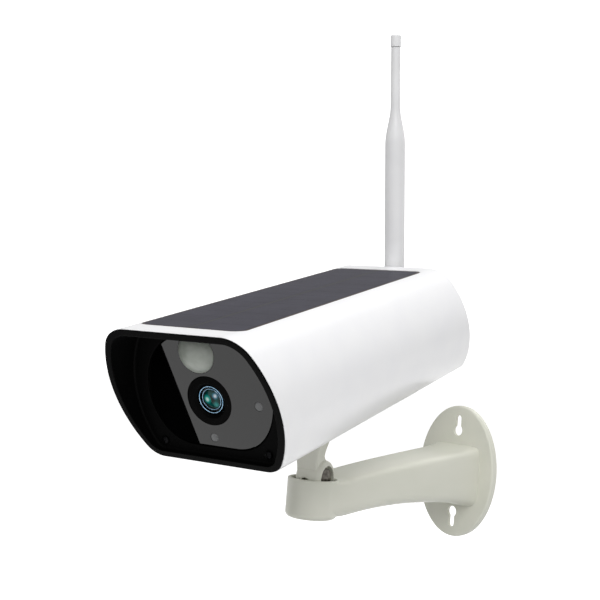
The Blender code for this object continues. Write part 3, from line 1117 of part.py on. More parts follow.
def antenna_rod(fold_axis):
    """Rod with a swelling lower part, a tongue at its foot and a cap on its tip."""
    neck = ROD_LENGTH - TIP_CAP_LENGTH
    spigot_top = ROD_LENGTH - 2 * MM
    stick = [(0, spigot_top), (SPIGOT_RADIUS, spigot_top), (SPIGOT_RADIUS, neck),
             (ROD_TIP_RADIUS, neck), (ROD_TIP_RADIUS + 0.15 * MM, ROD_NECK),
             (ROD_TIP_RADIUS + 1.3 * MM, ROD_NECK - 6 * MM),
             (ROD_RADIUS - 0.6 * MM, ROD_SHOULDER + 7 * MM), (ROD_RADIUS, ROD_SHOULDER),
             (ROD_RADIUS, ROD_FOOT + 1.2 * MM), (ROD_RADIUS - 1.2 * MM, ROD_FOOT), (0, ROD_FOOT)]
    rod = turned("antenna_rod", stick, ANTENNA_WHITE, fold_axis, segments=32)
    tongue = EAR_INSIDE - GAP
    tongue_radius = EAR_RADIUS - 1.2 * MM
    join_with(rod, rod_mesh("rod_tongue", tongue_radius, -tongue, tongue, 24), fold_axis,
              (0, 0, 0), SIDEWAYS)
    stem = ROD_FOOT + OVER
    join_with(rod, box_mesh("rod_tongue_stem", (2 * tongue - 0.02 * MM,
                                                2 * tongue_radius - 0.2 * MM, stem),
                            (0, 0, stem / 2)), fold_axis)
    cut_with(rod, rod_mesh("rod_pin_hole", HINGE_PIN_RADIUS + RUNNING_GAP, -EAR_OUTSIDE,
                           EAR_OUTSIDE, 16), fold_axis, (0, 0, 0), SIDEWAYS)

    cap_radius = ROD_TIP_RADIUS + 0.4 * MM
    cap_edge = 0.8 * MM
    bore = SPIGOT_RADIUS + RUNNING_GAP
    bore_top = spigot_top + 0.4 * MM
    cap = [(0, ROD_LENGTH), (cap_radius - cap_edge, ROD_LENGTH),
           (cap_radius, ROD_LENGTH - cap_edge), (cap_radius, neck + GAP), (bore, neck + GAP),
           (bore, bore_top), (0, bore_top)]
    turned("antenna_tip_cap", cap, ANTENNA_WHITE, fold_axis, segments=24)


def antenna():
    antenna_mount()
    swivel_axis = empty("antenna_swivel_axis", head,
                        (0, BOSS_FACE + HINGE_SETBACK, CONNECTOR_HEIGHT))
    antenna_elbow(swivel_axis)
    antenna_rod(empty("antenna_fold_axis", swivel_axis, (0, 0, 0), (-ANTENNA_LEAN, 0, 0)))


wall_bracket()
pan_joint()
tilt_joint()
outer_sleeve()
solar_panel()
front_bezel()
front_glass()
face_windows()
front_screws()
motion_sensor()
chassis(lens())
batteries()
cap = rear_cap()
rear_screws(cap)
ports(cap)
power_button(cap)
sound(cap)
port_cover()
antenna()
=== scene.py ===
# Looks of a solar wall camera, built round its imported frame: metres, +Z up, wall at Y = 0.
import json
from math import asin, atan, atan2, cos, exp, pi, radians, sin, sqrt

import bmesh
import bpy
from mathutils import Matrix, Vector


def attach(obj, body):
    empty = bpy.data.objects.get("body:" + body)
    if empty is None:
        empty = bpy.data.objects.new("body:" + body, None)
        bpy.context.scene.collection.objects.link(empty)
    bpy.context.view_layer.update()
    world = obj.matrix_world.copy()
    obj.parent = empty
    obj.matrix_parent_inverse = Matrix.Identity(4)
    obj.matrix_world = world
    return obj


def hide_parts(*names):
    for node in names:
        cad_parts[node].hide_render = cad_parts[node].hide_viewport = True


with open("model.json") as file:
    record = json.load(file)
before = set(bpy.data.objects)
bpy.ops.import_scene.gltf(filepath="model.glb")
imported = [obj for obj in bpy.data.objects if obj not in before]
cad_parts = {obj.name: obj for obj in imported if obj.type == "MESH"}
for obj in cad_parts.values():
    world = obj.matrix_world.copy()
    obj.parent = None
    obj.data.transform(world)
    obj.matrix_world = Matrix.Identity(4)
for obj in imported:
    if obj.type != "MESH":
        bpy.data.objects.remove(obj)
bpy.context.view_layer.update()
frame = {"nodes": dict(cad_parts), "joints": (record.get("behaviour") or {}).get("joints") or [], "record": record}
mm = 0.001
turnForward = Matrix.Rotation(pi / 2, 4, "X")  # local +Z to the front of its frame
turnBack = Matrix.Rotation(-pi / 2, 4, "X")  # local +Z to the back of its frame
turnSide = Matrix.Rotation(pi / 2, 4, "Y")  # local +Z to +X
hair = 0.01 * mm  # keeps two faces from lying in one plane
joints = {joint["name"]: joint for joint in frame["joints"]}
print("frame loaded:", len(frame["nodes"]), "nodes")


# places are read from the joints and from the nodes' own corners
def axisFrame(origin, across, up):
    x = Vector(across).normalized()
    y = Vector(up).cross(x).normalized()
    made = Matrix((x, y, x.cross(y))).transposed().to_4x4()
    made.translation = origin
    return made


def boxIn(node, place):
    back = place.inverted()
    points = [back @ corner.co for corner in frame["nodes"][node].data.vertices]
    low = Vector([min(p[k] for p in points) for k in range(3)])
    high = Vector([max(p[k] for p in points) for k in range(3)])
    return low, high


def middleOf(node, place):
    low, high = boxIn(node, place)
    return (low + high) / 2


def shift(x, y, z):
    return Matrix.Translation((x, y, z))


def spotOf(node, place):
    # to the node's middle, in the plane of its place
    middle = middleOf(node, place)
    return shift(middle.x, middle.y, 0)


rake = 0.43  # run per rise of the sleeve's two ends
faceSlope = 0.15  # the same of the front face, the other way
tiltFrame = axisFrame(joints["tilt"]["pos_m"], joints["tilt"]["axis"], joints["head_turn"]["axis"])
headFrame = tiltFrame.copy()
sleeveLow, sleeveHigh = boxIn("outer_sleeve", headFrame)
headWidth, headDepth, headHeight = sleeveHigh - sleeveLow
headLength = headDepth - rake * headHeight
# the head's own middle is that of its top edges, half way down
headMiddle = (sleeveLow + sleeveHigh) / 2 - Vector((0, rake * headHeight / 2, 0))
headFrame.translation = headFrame @ headMiddle

faceFrame = headFrame @ Matrix.Rotation(pi / 2 + atan(faceSlope), 4, "X")
facePlane = boxIn("front_glass", faceFrame)[1].z
faceY = -facePlane / cos(atan(faceSlope))  # where the face plane crosses the head's own Y axis
faceFrame.translation = headFrame @ Vector((0, faceY, 0))

rearFrame = headFrame @ Matrix.Rotation(atan(rake) - pi / 2, 4, "X")
coverThick = 2.0 * mm
capPlane = boxIn("port_cover", rearFrame)[0].z + coverThick
capY = capPlane / cos(atan(rake))
rearFrame.translation = headFrame @ Vector((0, capY, 0))

swivelFrame = headFrame.copy()
swivelFrame.translation = joints["antenna_swivel"]["pos_m"]
tipCentre = middleOf("antenna_tip_cap", Matrix.Identity(4))
rodFrame = axisFrame(swivelFrame.translation, joints["tilt"]["axis"],
                     tipCentre - swivelFrame.translation)


# outlines, as lists of (x, y) that run anticlockwise
def arcOf(centre, radius, start, end, steps):
    return [(centre[0] + radius * cos(start + (end - start) * i / steps),
             centre[1] + radius * sin(start + (end - start) * i / steps))
            for i in range(steps + 1)]


def quarterTurn(steps):
    # angles from nought to a right angle, for a rounded edge
    return [i / steps * pi / 2 for i in range(steps + 1)]


def circleOf(radius, sides, turn=0.0):
    return [(radius * cos(2 * pi * i / sides + turn), radius * sin(2 * pi * i / sides + turn))
            for i in range(sides)]


def roundedBox(width, height, radius, steps=8):
    points = []
    for i, (sx, sy) in enumerate(((1, 1), (-1, 1), (-1, -1), (1, -1))):
        centre = (sx * (width / 2 - radius), sy * (height / 2 - radius))
        points += arcOf(centre, radius, i * pi / 2, (i + 1) * pi / 2, steps)
    return points


def barrelOf(halfWidth, sideRadius, top, bottom, topCorner, bottomCorner, fine=4):
    # flat top and bottom, bulging sides; a narrow strip at each end of a flat keeps it flat to the eye
    strip = 0.4 * mm
    side = halfWidth - sideRadius
    ends = []
    for height, radius, sign in ((top, topCorner, 1), (bottom, bottomCorner, -1)):
        z = height - sign * radius
        x = side + sqrt((sideRadius - radius) ** 2 - z ** 2)
        ends.append(((x, z), radius, atan2(z, x - side)))
    (topCentre, topR, topAngle), (bottomCentre, bottomR, bottomAngle) = ends
    right = [(bottomCentre[0] - strip, bottom)]
    right += arcOf(bottomCentre, bottomR, -pi / 2, bottomAngle, 5 * fine)
    right += arcOf((side, 0), sideRadius, bottomAngle, topAngle, 8 * fine)[1:-1]
    right += arcOf(topCentre, topR, topAngle, pi / 2, 6 * fine)
    right += [(topCentre[0] - strip, top)]
    return right + [(-x, z) for x, z in reversed(right)]


# meshes from outlines and profiles
def meshFrom(bm):
    bmesh.ops.remove_doubles(bm, verts=bm.verts, dist=1e-7)
    bmesh.ops.recalc_face_normals(bm, faces=bm.faces)
    made = bpy.data.meshes.new("mesh")
    bm.to_mesh(made)
    bm.free()
    return made


def skinOf(loops, closed=False):
    # skin over loops of equally many points, with its two ends capped unless it closes on itself
    bm = bmesh.new()
    rows = [[bm.verts.new(point) for point in loop] for loop in loops]
    count = len(loops[0])
    pairs = list(zip(rows, rows[1:])) + ([(rows[-1], rows[0])] if closed else [])
    for first, second in pairs:
        for i in range(count):
            j = (i + 1) % count
            bm.faces.new((first[i], first[j], second[j], second[i]))
    if not closed:
        bm.faces.new(rows[0])
        bm.faces.new(rows[-1])
    return meshFrom(bm)


def latheOf(profile, sides=96, ring=False):
    # a (radius, height) profile turned about Z; a ring's profile closes on itself
    bm = bmesh.new()
    rows = [[bm.verts.new((r * cos(a), r * sin(a), z)) for r, z in profile]
            for a in [2 * pi * i / sides for i in range(sides)]]
    count = len(profile)
    for k in range(sides):
        first, second = rows[k], rows[(k + 1) % sides]
        for i in range(count if ring else count - 1):
            j = (i + 1) % count
            bm.faces.new((first[i], first[j], second[j], second[i]))
    bmesh.ops.remove_doubles(bm, verts=bm.verts, dist=1e-7)
    bmesh.ops.dissolve_degenerate(bm, dist=1e-8, edges=bm.edges)
    return meshFrom(bm)


def prismOf(outlineAt, bottom, top, edge=0.0, steps=3):
    # outlineAt(inset) gives the outline; both of its ends are rounded by edge
    turns = quarterTurn(steps) if edge else [pi / 2]
    lower = [(edge * (1 - sin(a)), bottom + edge * (1 - cos(a))) for a in turns]
    levels = lower + [(inset, top + bottom - z) for inset, z in reversed(lower)]
    return skinOf([[(x, y, z) for x, y in outlineAt(inset)] for inset, z in levels])


def discOf(radius, bottom, top, edge=0.0, sides=64):
    return prismOf(lambda inset: circleOf(radius - inset, sides), bottom, top, edge)


def blockOf(size, centre=(0, 0, 0), edge=0.0):
    sx, sy, sz = size
    radius = max(edge, 0.02 * mm)
    made = prismOf(lambda inset: roundedBox(sx - 2 * inset, sy - 2 * inset,
                                            max(radius - inset, 0.01 * mm), 3),
                   -sz / 2, sz / 2, edge)
    made.transform(shift(*centre))
    return made


def boolean(mesh, tool, place, operation="DIFFERENCE"):
    base = bpy.data.objects.new("base", mesh)
    other = bpy.data.objects.new("tool", tool)
    other.matrix_world = place
    for obj in (base, other):
        bpy.context.scene.collection.objects.link(obj)
    step = base.modifiers.new("step", "BOOLEAN")
    step.object = other
    step.operation = operation
    bpy.context.view_layer.update()
    seen = base.evaluated_get(bpy.context.evaluated_depsgraph_get())
    made = bpy.data.meshes.new_from_object(seen)
    for obj in (base, other):
        bpy.data.objects.remove(obj)
    return made


def cut(mesh, tool, place=Matrix.Identity(4)):
    return boolean(mesh, tool, place)


def weld(mesh, tool, place=Matrix.Identity(4)):
    return boolean(mesh, tool, place, "UNION")


def newPiece(name, mesh, place, finish, body, stands=(), sharp=32, ownAxes=False):
    # ownAxes keeps the piece's own origin and axes for a finish that follows them
    mesh.name = name
    if not ownAxes:
        mesh.transform(place)
        place = Matrix.Identity(4)
    mesh.materials.clear()
    mesh.materials.append(finish)
    mesh.shade_smooth()
    mesh.set_sharp_from_angle(angle=radians(sharp))
    made = bpy.data.objects.new(name, mesh)
    bpy.context.scene.collection.objects.link(made)
    made.matrix_world = place
    # large flat faces stay flat to the eye
    weights = made.modifiers.new("flatFaces", "WEIGHTED_NORMAL")
    weights.keep_sharp = True
    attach(made, body)
    if stands:
        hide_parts(*stands)
    return made


# materials, each built from what the real one is and how its surface was made
def linear(hexColour):
    parts = [int(hexColour[i:i + 2], 16) / 255 for i in (1, 3, 5)]
    return (*[c / 12.92 if c <= 0.04045 else ((c + 0.055) / 1.055) ** 2.4 for c in parts], 1.0)


def addNode(tree, kind, settings=None, links=None):
    made = tree.nodes.new(kind)
    for key, value in (settings or {}).items():
        if isinstance(key, str) and hasattr(made, key):
            setattr(made, key, value)
        else:
            made.inputs[key].default_value = value
    for key, source in (links or {}).items():
        tree.links.new(source, made.inputs[key])
    return made


def newMaterial(name, hexColour, sockets):
    made = bpy.data.materials.new(name)
    made.use_nodes = True
    shader = made.node_tree.nodes["Principled BSDF"]
    shader.inputs["Base Color"].default_value = linear(hexColour)
    for key, value in sockets.items():
        shader.inputs[key].default_value = value
    made.diffuse_color = linear(hexColour)
    return made, made.node_tree, shader


def grain(tree, size, detail=2.0, stretch=(1, 1, 1)):
    # noise whose lumps are about size across
    own = addNode(tree, "ShaderNodeTexCoord").outputs["Object"]  # the piece's own metres
    spread = addNode(tree, "ShaderNodeMapping", {"Scale": stretch}, {"Vector": own})
    return addNode(tree, "ShaderNodeTexNoise", {"Scale": 1 / size, "Detail": detail},
                   {"Vector": spread.outputs[0]}).outputs["Fac"]


def polish(tree, shader, factor, smooth, rough):
    # roughness that follows a factor
    spread = addNode(tree, "ShaderNodeMapRange", {"To Min": smooth, "To Max": rough},
                     {"Value": factor})
    tree.links.new(spread.outputs[0], shader.inputs["Roughness"])


def tones(tree, shader, factor, darkHex, lightHex, low=0.3, high=0.7):
    ramp = addNode(tree, "ShaderNodeValToRGB", None, {"Fac": factor})
    first, last = ramp.color_ramp.elements
    first.position, first.color = low, linear(darkHex)
    last.position, last.color = high, linear(lightHex)
    tree.links.new(ramp.outputs["Color"], shader.inputs["Base Color"])
    return ramp


def relief(tree, shader, height, depth, strength=1.0, edge=None):
    # bump of a real depth; edge softens the piece's corners by that radius
    links = {"Height": height}
    if edge:
        soft = addNode(tree, "ShaderNodeBevel", {"samples": 4, "Radius": edge})
        links["Normal"] = soft.outputs[0]
    bump = addNode(tree, "ShaderNodeBump", {"Distance": depth, "Strength": strength}, links)
    tree.links.new(bump.outputs[0], shader.inputs["Normal"])


# aluminium extrusion with a satin white powder coat, cured in an oven: the coat flows into a
# faint orange peel, so highlights break up softly, and it is a touch whiter where it is thick
def powderCoat():
    made, tree, shader = newMaterial("powderCoatedAluminium", "#f1f1f3",
                                     {"Roughness": 0.3, "IOR": 1.5, "Coat Weight": 0.15,
                                      "Coat Roughness": 0.12})
    peel = grain(tree, 1.6 * mm, 1.0)
    cloud = grain(tree, 22 * mm, 2.0)
    tones(tree, shader, cloud, "#f1f1f3", "#f4f4f5")
    polish(tree, shader, cloud, 0.3, 0.33)
    relief(tree, shader, peel, 0.006 * mm, 0.5, 0.35 * mm)
    return made


# ABS, injection moulded in a spark-eroded tool: warm grey-white, with a fine matt grain of
# about 0.15 mm, drawn at 0.5 mm so that it shows, and slightly waxy corners
def mouldedAbs(name, hexColour, darkHex, roughness, grainSize=0.5):
    made, tree, shader = newMaterial(name, hexColour, {"IOR": 1.54, "Subsurface Weight": 0.04,
                                                       "Subsurface Radius": (1, 1, 0.9),
                                                       "Subsurface Scale": 0.8 * mm})
    fine = grain(tree, grainSize * mm, 3.0)
    flow = grain(tree, 18 * mm, 2.0, (1, 0.4, 1))
    tones(tree, shader, flow, darkHex, hexColour)
    polish(tree, shader, fine, roughness - 0.05, roughness + 0.06)
    relief(tree, shader, fine, 0.02 * mm, 0.5, 0.5 * mm)
    return made


# black ABS with a coarser eroded grain of 0.3 mm, drawn at 0.5 mm: it swallows most light and
# only the raised grain and the corners catch a dull sheen
def grainedBlackAbs(name, darkHex, lightHex, specular):
    made, tree, shader = newMaterial(name, lightHex, {"IOR": 1.5, "Specular IOR Level": specular})
    fine = grain(tree, 0.5 * mm, 3.0)
    tones(tree, shader, fine, darkHex, lightHex)
    polish(tree, shader, fine, 0.5, 0.62)
    relief(tree, shader, fine, 0.03 * mm, 0.7, 0.4 * mm)
    return made


# EPDM rubber, compression moulded: dull charcoal with a dry bloom that lightens it in patches
def epdmRubber():
    made, tree, shader = newMaterial("epdmRubber", "#1b1b1b", {"IOR": 1.52, "Roughness": 0.75,
                                                               "Specular IOR Level": 0.35})
    bloom = grain(tree, 4 * mm, 4.0)
    tones(tree, shader, bloom, "#171717", "#242423")
    relief(tree, shader, grain(tree, 0.35 * mm), 0.02 * mm, 0.6, 0.3 * mm)
    return made


# cast acrylic sheet, smoked and polished: almost black in its depth, with a hard clear
# reflection and a few hairlines from wiping that only roughen it a little
def smokedAcrylic():
    made, tree, shader = newMaterial("smokedAcrylic", "#0a0a0b", {"IOR": 1.5})
    wipe = grain(tree, 3 * mm, 4.0, (1, 0.08, 1))
    tones(tree, shader, grain(tree, 30 * mm), "#050505", "#080809")
    polish(tree, shader, wipe, 0.005, 0.02)
    return made


# monocrystalline silicon behind matt PET film: blue-violet slate, crossed by hair-thin silver
# fingers 1.6 mm apart, and the film's prism embossing of 0.4 mm spreads the gloss
def siliconCell(name, lightHex, darkHex):
    made, tree, shader = newMaterial(name, lightHex, {"IOR": 1.5, "Specular IOR Level": 0.05})
    own = addNode(tree, "ShaderNodeTexCoord").outputs["Object"]
    where = addNode(tree, "ShaderNodeSeparateXYZ", None, {0: own})
    wave = addNode(tree, "ShaderNodeMath", {"operation": "PINGPONG", 1: 0.8 * mm},
                   {0: where.outputs["Y"]})
    finger = addNode(tree, "ShaderNodeMapRange", {"From Min": 0.0, "From Max": 0.12 * mm,
                                                  "To Min": 0.12, "To Max": 0.0},
                     {"Value": wave.outputs[0]})
    ramp = tones(tree, shader, grain(tree, 14 * mm, 3.0), darkHex, lightHex)
    mixed = addNode(tree, "ShaderNodeMix", {"data_type": "RGBA"},
                    {0: finger.outputs[0], 6: ramp.outputs["Color"]})
    mixed.inputs[7].default_value = linear("#5c5a64")
    tree.links.new(mixed.outputs[2], shader.inputs["Base Color"])
    film = grain(tree, 0.4 * mm, 1.0)
    polish(tree, shader, film, 0.34, 0.46)
    relief(tree, shader, film, 0.01 * mm, 0.5)
    return made


# black backsheet and frame of the laminate, with the brown tint that its adhesive gives the rim
def laminateBack():
    made, tree, shader = newMaterial("laminateBacksheet", "#40332e",
                                     {"IOR": 1.5, "Roughness": 0.42, "Specular IOR Level": 0.15})
    tones(tree, shader, grain(tree, 9 * mm, 3.0), "#3a2f2c", "#493a33")
    relief(tree, shader, grain(tree, 0.4 * mm, 1.0), 0.01 * mm, 0.4)
    return made


# HDPE, moulded thin: milky and slightly green, light soaks into it and comes out soft
def milkyHdpe():
    made, tree, shader = newMaterial("milkyHdpe", "#bac1b7",
                                     {"IOR": 1.54, "Roughness": 0.33, "Subsurface Weight": 0.35,
                                      "Subsurface Radius": (0.9, 1.0, 0.85),
                                      "Subsurface Scale": 1.5 * mm})
    tones(tree, shader, grain(tree, 5 * mm, 2.0), "#b3bab0", "#c1c7be")
    relief(tree, shader, grain(tree, 0.3 * mm), 0.006 * mm, 0.5)
    return made


# optical glass with an anti-reflection coating, its look painted into the base colour: a dark
# green-blue depth with a painted teal ring of reflection, and painted reflections that flash teal low
# on one side and pale blue high on the other, where the inner elements send light back
def coatedGlass(name, radius):
    made, tree, shader = newMaterial(name, "#04090b", {"IOR": 1.6, "Roughness": 0.02,
                                                     "Specular IOR Level": 0.12})
    own = addNode(tree, "ShaderNodeTexCoord").outputs["Object"]
    # height doesn't count: the painted reflections lie in plan
    where = addNode(tree, "ShaderNodeVectorMath", {"operation": "MULTIPLY", 1: (1, 1, 0)},
                    {0: own}).outputs[0]
    away = addNode(tree, "ShaderNodeVectorMath", {"operation": "LENGTH"}, {0: where})
    share = addNode(tree, "ShaderNodeMath", {"operation": "DIVIDE", 1: radius},
                    {0: away.outputs["Value"]})
    ramp = tones(tree, shader, share.outputs[0], "#041012", "#02080a", 0.15, 0.9)
    # painted reflection of the coating: a teal ring round the dark middle
    paintedTealRing = ramp.color_ramp.elements.new(0.45)
    paintedTealRing.color = linear("#105450")
    seen = ramp.outputs["Color"]
    # place across and up, reach and colour of each painted reflection, in mm
    paintedReflections = ((-2.5, -0.2, 2.6, "#2fe0cf"), (-2.6, -0.3, 1.5, "#f4fffd"),
               (2.2, 1.9, 2.0, "#6fb3d9"), (2.3, 1.9, 1.2, "#ffffff"),
               (2.4, -2.8, 2.0, "#2f9f9a"))
    for x, y, size, colour in paintedReflections:
        spot = addNode(tree, "ShaderNodeVectorMath", {"operation": "DISTANCE"}, {0: where})
        spot.inputs[1].default_value = (x * mm, y * mm, 0)
        glow = addNode(tree, "ShaderNodeMapRange", {"From Max": size * mm, "To Min": 1.0,
                                                    "To Max": 0.0},
                       {"Value": spot.outputs["Value"]})
        mixed = addNode(tree, "ShaderNodeMix", {"data_type": "RGBA"},
                        {0: glow.outputs[0], 6: seen})
        mixed.inputs[7].default_value = linear(colour)
        seen = mixed.outputs[2]
    tree.links.new(seen, shader.inputs["Base Color"])
    return made


# stainless steel, brushed in one direction: fine parallel scratches pull highlights into
# streaks; the scratches are 0.1 mm apart and drawn at 0.25 mm
def brushedSteel(name, hexColour, stretch, roughness=0.3):
    made, tree, shader = newMaterial(name, hexColour, {"Metallic": 1.0})
    lines = grain(tree, 0.25 * mm, 3.0, stretch)
    tones(tree, shader, grain(tree, 2.5 * mm, 3.0, stretch), "#57534d", hexColour)
    polish(tree, shader, lines, roughness - 0.1, roughness + 0.12)
    relief(tree, shader, lines, 0.015 * mm, 0.7)
    return made


# a metal as its machining or plating left it: even, with small clouds where it has dulled
def plainMetal(name, hexColour, darkHex, roughness):
    made, tree, shader = newMaterial(name, hexColour, {"Metallic": 1.0})
    dull = grain(tree, 1.8 * mm, 4.0)
    tones(tree, shader, dull, darkHex, hexColour)
    polish(tree, shader, dull, roughness - 0.06, roughness + 0.1)
    relief(tree, shader, grain(tree, 0.2 * mm), 0.005 * mm, 0.4)
    return made


# glossy or dull plastic of the hidden pieces: one colour, a fine grain and slight tone changes
def plainPlastic(name, hexColour, darkHex, roughness, size=0.8):
    made, tree, shader = newMaterial(name, hexColour, {"IOR": 1.5})
    fine = grain(tree, size * mm, 3.0)
    tones(tree, shader, fine, darkHex, hexColour)
    polish(tree, shader, fine, roughness - 0.04, roughness + 0.06)
    relief(tree, shader, fine, 0.01 * mm, 0.4)
    return made


finishes = {
    "body_shell": powderCoat(),
    # the bracket's grade: thick-walled and slightly green in its grey
    "bracket_plastic": mouldedAbs("warmWhiteAbs", "#d9d9cd", "#d3d4c7", 0.42),
    # TPE over the aerial's wire, from the same kind of tool: whiter, with a softer grain
    "antenna_plastic": mouldedAbs("whiteTpe", "#e7e7e8", "#e1e1e2", 0.38, 0.7),
    "black_plastic": grainedBlackAbs("deepBlackAbs", "#020202", "#050505", 0.03),
    "black_rubber": epdmRubber(),
    "smoked_acrylic": smokedAcrylic(),
    "solar_laminate": laminateBack(),
    "sensor_dome": milkyHdpe(),
    "lens_glass": coatedGlass("coatedFrontElement", 6.0 * mm),
    # polycarbonate with a frosted face: an even grey that hides the diode behind it
    "smoked_window": plainPlastic("diffuserPolycarbonate", "#6c6d6e", "#646566", 0.4),
    # steel plated with zinc in a barrel: pale grey, cloudy where it has dulled
    "steel": plainMetal("zincPlatedSteel", "#b9b7b2", "#9d9b97", 0.32),
    # steel blackened in hot salts and oiled: a satin close to black
    "black_steel": plainMetal("blackenedSteel", "#161617", "#0e0e0f", 0.45),
    # brass off the lathe: bright yellow with a fine tool grain
    "brass": plainMetal("machinedBrass", "#cfae62", "#b08f48", 0.3),
    # brass plated with gold over nickel: warmer and glossier than bare brass
    "gold_plate": plainMetal("goldPlatedBrass", "#e2bd6c", "#c99f4f", 0.24),
    # lacquer printed over glass cloth: deep green, dulled by the weave below
    "circuit_board": plainPlastic("solderMask", "#14583a", "#0f4a30", 0.45, 2.0),
    # PVC film shrunk on with heat: tight and glossy, with slow ripples
    "cell_wrap": plainPlastic("shrinkWrapPvc", "#2d72ad", "#27659b", 0.28, 3.0),
    # nylon moulded without colour: waxy and slightly yellow
    "nylon": plainPlastic("naturalNylon", "#dcdacd", "#d1cfc1", 0.5),
}
# the rear cap's grade, with less black in it: its grain shows as charcoal
rearFinish = grainedBlackAbs("charcoalAbs", "#0f0f10", "#171718", 0.3)
# brushed along one line across the dome, so the streaks stand upright
boltSteel = brushedSteel("brushedStainlessSteel", "#8e8a83", (1, 1, 0.03), 0.32)
cellFinish = siliconCell("monocrystallineCell", "#393843", "#32313b")
# PET tape laid over the busbars: a plain black line without grain
seamFinish = plainPlastic("blackPetTape", "#111014", "#0d0c10", 0.5)
# aluminium rings whose pale blue is a painted reflection of the coated glass's edges
paleBlueReflectionFinish = plainMetal("paintedBlueReflectionRing", "#a7c6dc", "#5f8aa8", 0.25)
print("materials made:", len(bpy.data.materials))

# carried-over nodes take their slot's finish
for row in frame["record"]["subparts"]:
    node = frame["nodes"][row["node"]]
    node.data.materials.clear()
    node.data.materials.append(finishes[row["material_slot"]])

# sleeve of the head
sleeve = {"wall": 1.8 * mm, "sideArc": 59.6 * mm, "topCorner": 16.2 * mm,
          "bottomCorner": 11.1 * mm, "rimEdge": 0.3 * mm, "gap": 0.3 * mm,
          "rimCover": 1.0 * mm, "insertHole": 5.3 * mm}


def sleeveOutline(inset):
    return barrelOf(headWidth / 2 - inset, sleeve["sideArc"] - inset, headHeight / 2 - inset,
                    -headHeight / 2 + inset, sleeve["topCorner"] - inset,
                    sleeve["bottomCorner"] - inset)


def atRake(outline, start):
    return [(x, start + rake * (headHeight / 2 - z), z) for x, z in outline]


def atFace(outline, behind):
    return [(x, faceY + behind - faceSlope * z, z) for x, z in outline]


panelLow, panelHigh = boxIn("solar_panel", headFrame)
panelWidth, panelLength = (panelHigh - panelLow).xy
panelCorner = 6.0 * mm
insertPlace = middleOf("mount_insert", headFrame)


def makeSleeve():
    wall, edge = sleeve["wall"], sleeve["rimEdge"]
    turns = quarterTurn(3)
    outer = [(edge * (1 - sin(a)), edge * (1 - cos(a))) for a in turns]  # inset, depth from rim
    front = list(reversed(outer)) + [(wall - inset, depth) for inset, depth in outer]
    back = [(inset, headLength / 2 - depth) for inset, depth in reversed(front)]
    front = [(inset, sleeve["rimCover"] - headLength / 2 + depth) for inset, depth in front]
    mesh = skinOf([atRake(sleeveOutline(inset), y) for inset, y in front + back], closed=True)
    gap = sleeve["gap"]
    opening = prismOf(lambda inset: roundedBox(panelWidth + 2 * gap, panelLength + 2 * gap,
                                               panelCorner + gap, 12),
                      headHeight / 2 - 3 * wall, headHeight / 2 + wall)
    mesh = cut(mesh, opening)
    hole = discOf(sleeve["insertHole"], -headHeight / 2 - wall, -headHeight / 2 + 2 * wall)
    mesh = cut(mesh, hole, shift(insertPlace.x, insertPlace.y, 0))
    newPiece("sleeve", mesh, headFrame, finishes["body_shell"], "camera_head",
             ("outer_sleeve",))


makeSleeve()
print("sleeve made")

# solar panel: backsheet, two columns of cells and the busbars between them
panel = {"rows": 14, "seam": 1.9 * mm, "rowGap": 0.12 * mm, "border": 1.3 * mm,
         "proud": 0.05 * mm, "edge": 0.25 * mm, "tapeEdge": 0.02 * mm, "cellCorner": 0.1 * mm}


def makePanel():
    middle = (panelLow + panelHigh) / 2
    top = panelHigh.z
    back = prismOf(lambda inset: roundedBox(panelWidth - 2 * inset, panelLength - 2 * inset,
                                            panelCorner - inset, 12),
                   panelLow.z, top - panel["proud"], panel["edge"])
    place = headFrame @ shift(middle.x, middle.y, 0)
    newPiece("solarPanelBack", back, place, finishes["solar_laminate"], "camera_head",
             ("solar_panel",))
    tape = blockOf((panel["seam"], panelLength - 2 * panel["border"], panel["proud"]),
                   (0, 0, top - panel["proud"] / 2), panel["tapeEdge"])
    newPiece("solarSeam", tape, place, seamFinish, "camera_head")
    cellWidth = (panelWidth - 2 * panel["border"] - panel["seam"]) / 2
    pitch = (panelLength - 2 * panel["border"]) / panel["rows"]
    cellLength = pitch - panel["rowGap"]
    for side, name in ((-1, "Left"), (1, "Right")):
        bm = bmesh.new()
        for row in range(panel["rows"]):
            ends = (row == 0, row == panel["rows"] - 1)
            cell = cellOutline(cellWidth, cellLength, side, ends)
            x = side * (panel["seam"] + cellWidth) / 2
            y = (row + 0.5) * pitch - pitch * panel["rows"] / 2
            addTile(bm, [(x + px, y + py) for px, py in cell], top - panel["proud"], top)
        newPiece("solarCells" + name, meshFrom(bm), place, cellFinish, "camera_head",
                 ownAxes=True)


def cellOutline(width, length, side, ends):
    # the first and last cell of a column follow the panel's rounded corner on the outer side
    big, small = panelCorner - panel["border"], panel["cellCorner"]
    corners = []
    for i, (sx, sy) in enumerate(((1, 1), (-1, 1), (-1, -1), (1, -1))):
        rounded = sx == side and ends[1 if sy > 0 else 0]
        size = big if rounded else small
        centre = (sx * (width / 2 - size), sy * (length / 2 - size))
        start = i * pi / 2
        corners += arcOf(centre, size, start, start + pi / 2, 8 if rounded else 1)
    return corners


def addTile(bm, outline, bottom, top):
    lower = [bm.verts.new((x, y, bottom)) for x, y in outline]
    upper = [bm.verts.new((x, y, top)) for x, y in outline]
    for i in range(len(outline)):
        j = (i + 1) % len(outline)
        bm.faces.new((lower[i], lower[j], upper[j], upper[i]))
    bm.faces.new(lower)
    bm.faces.new(upper)


makePanel()
print("solar panel made")

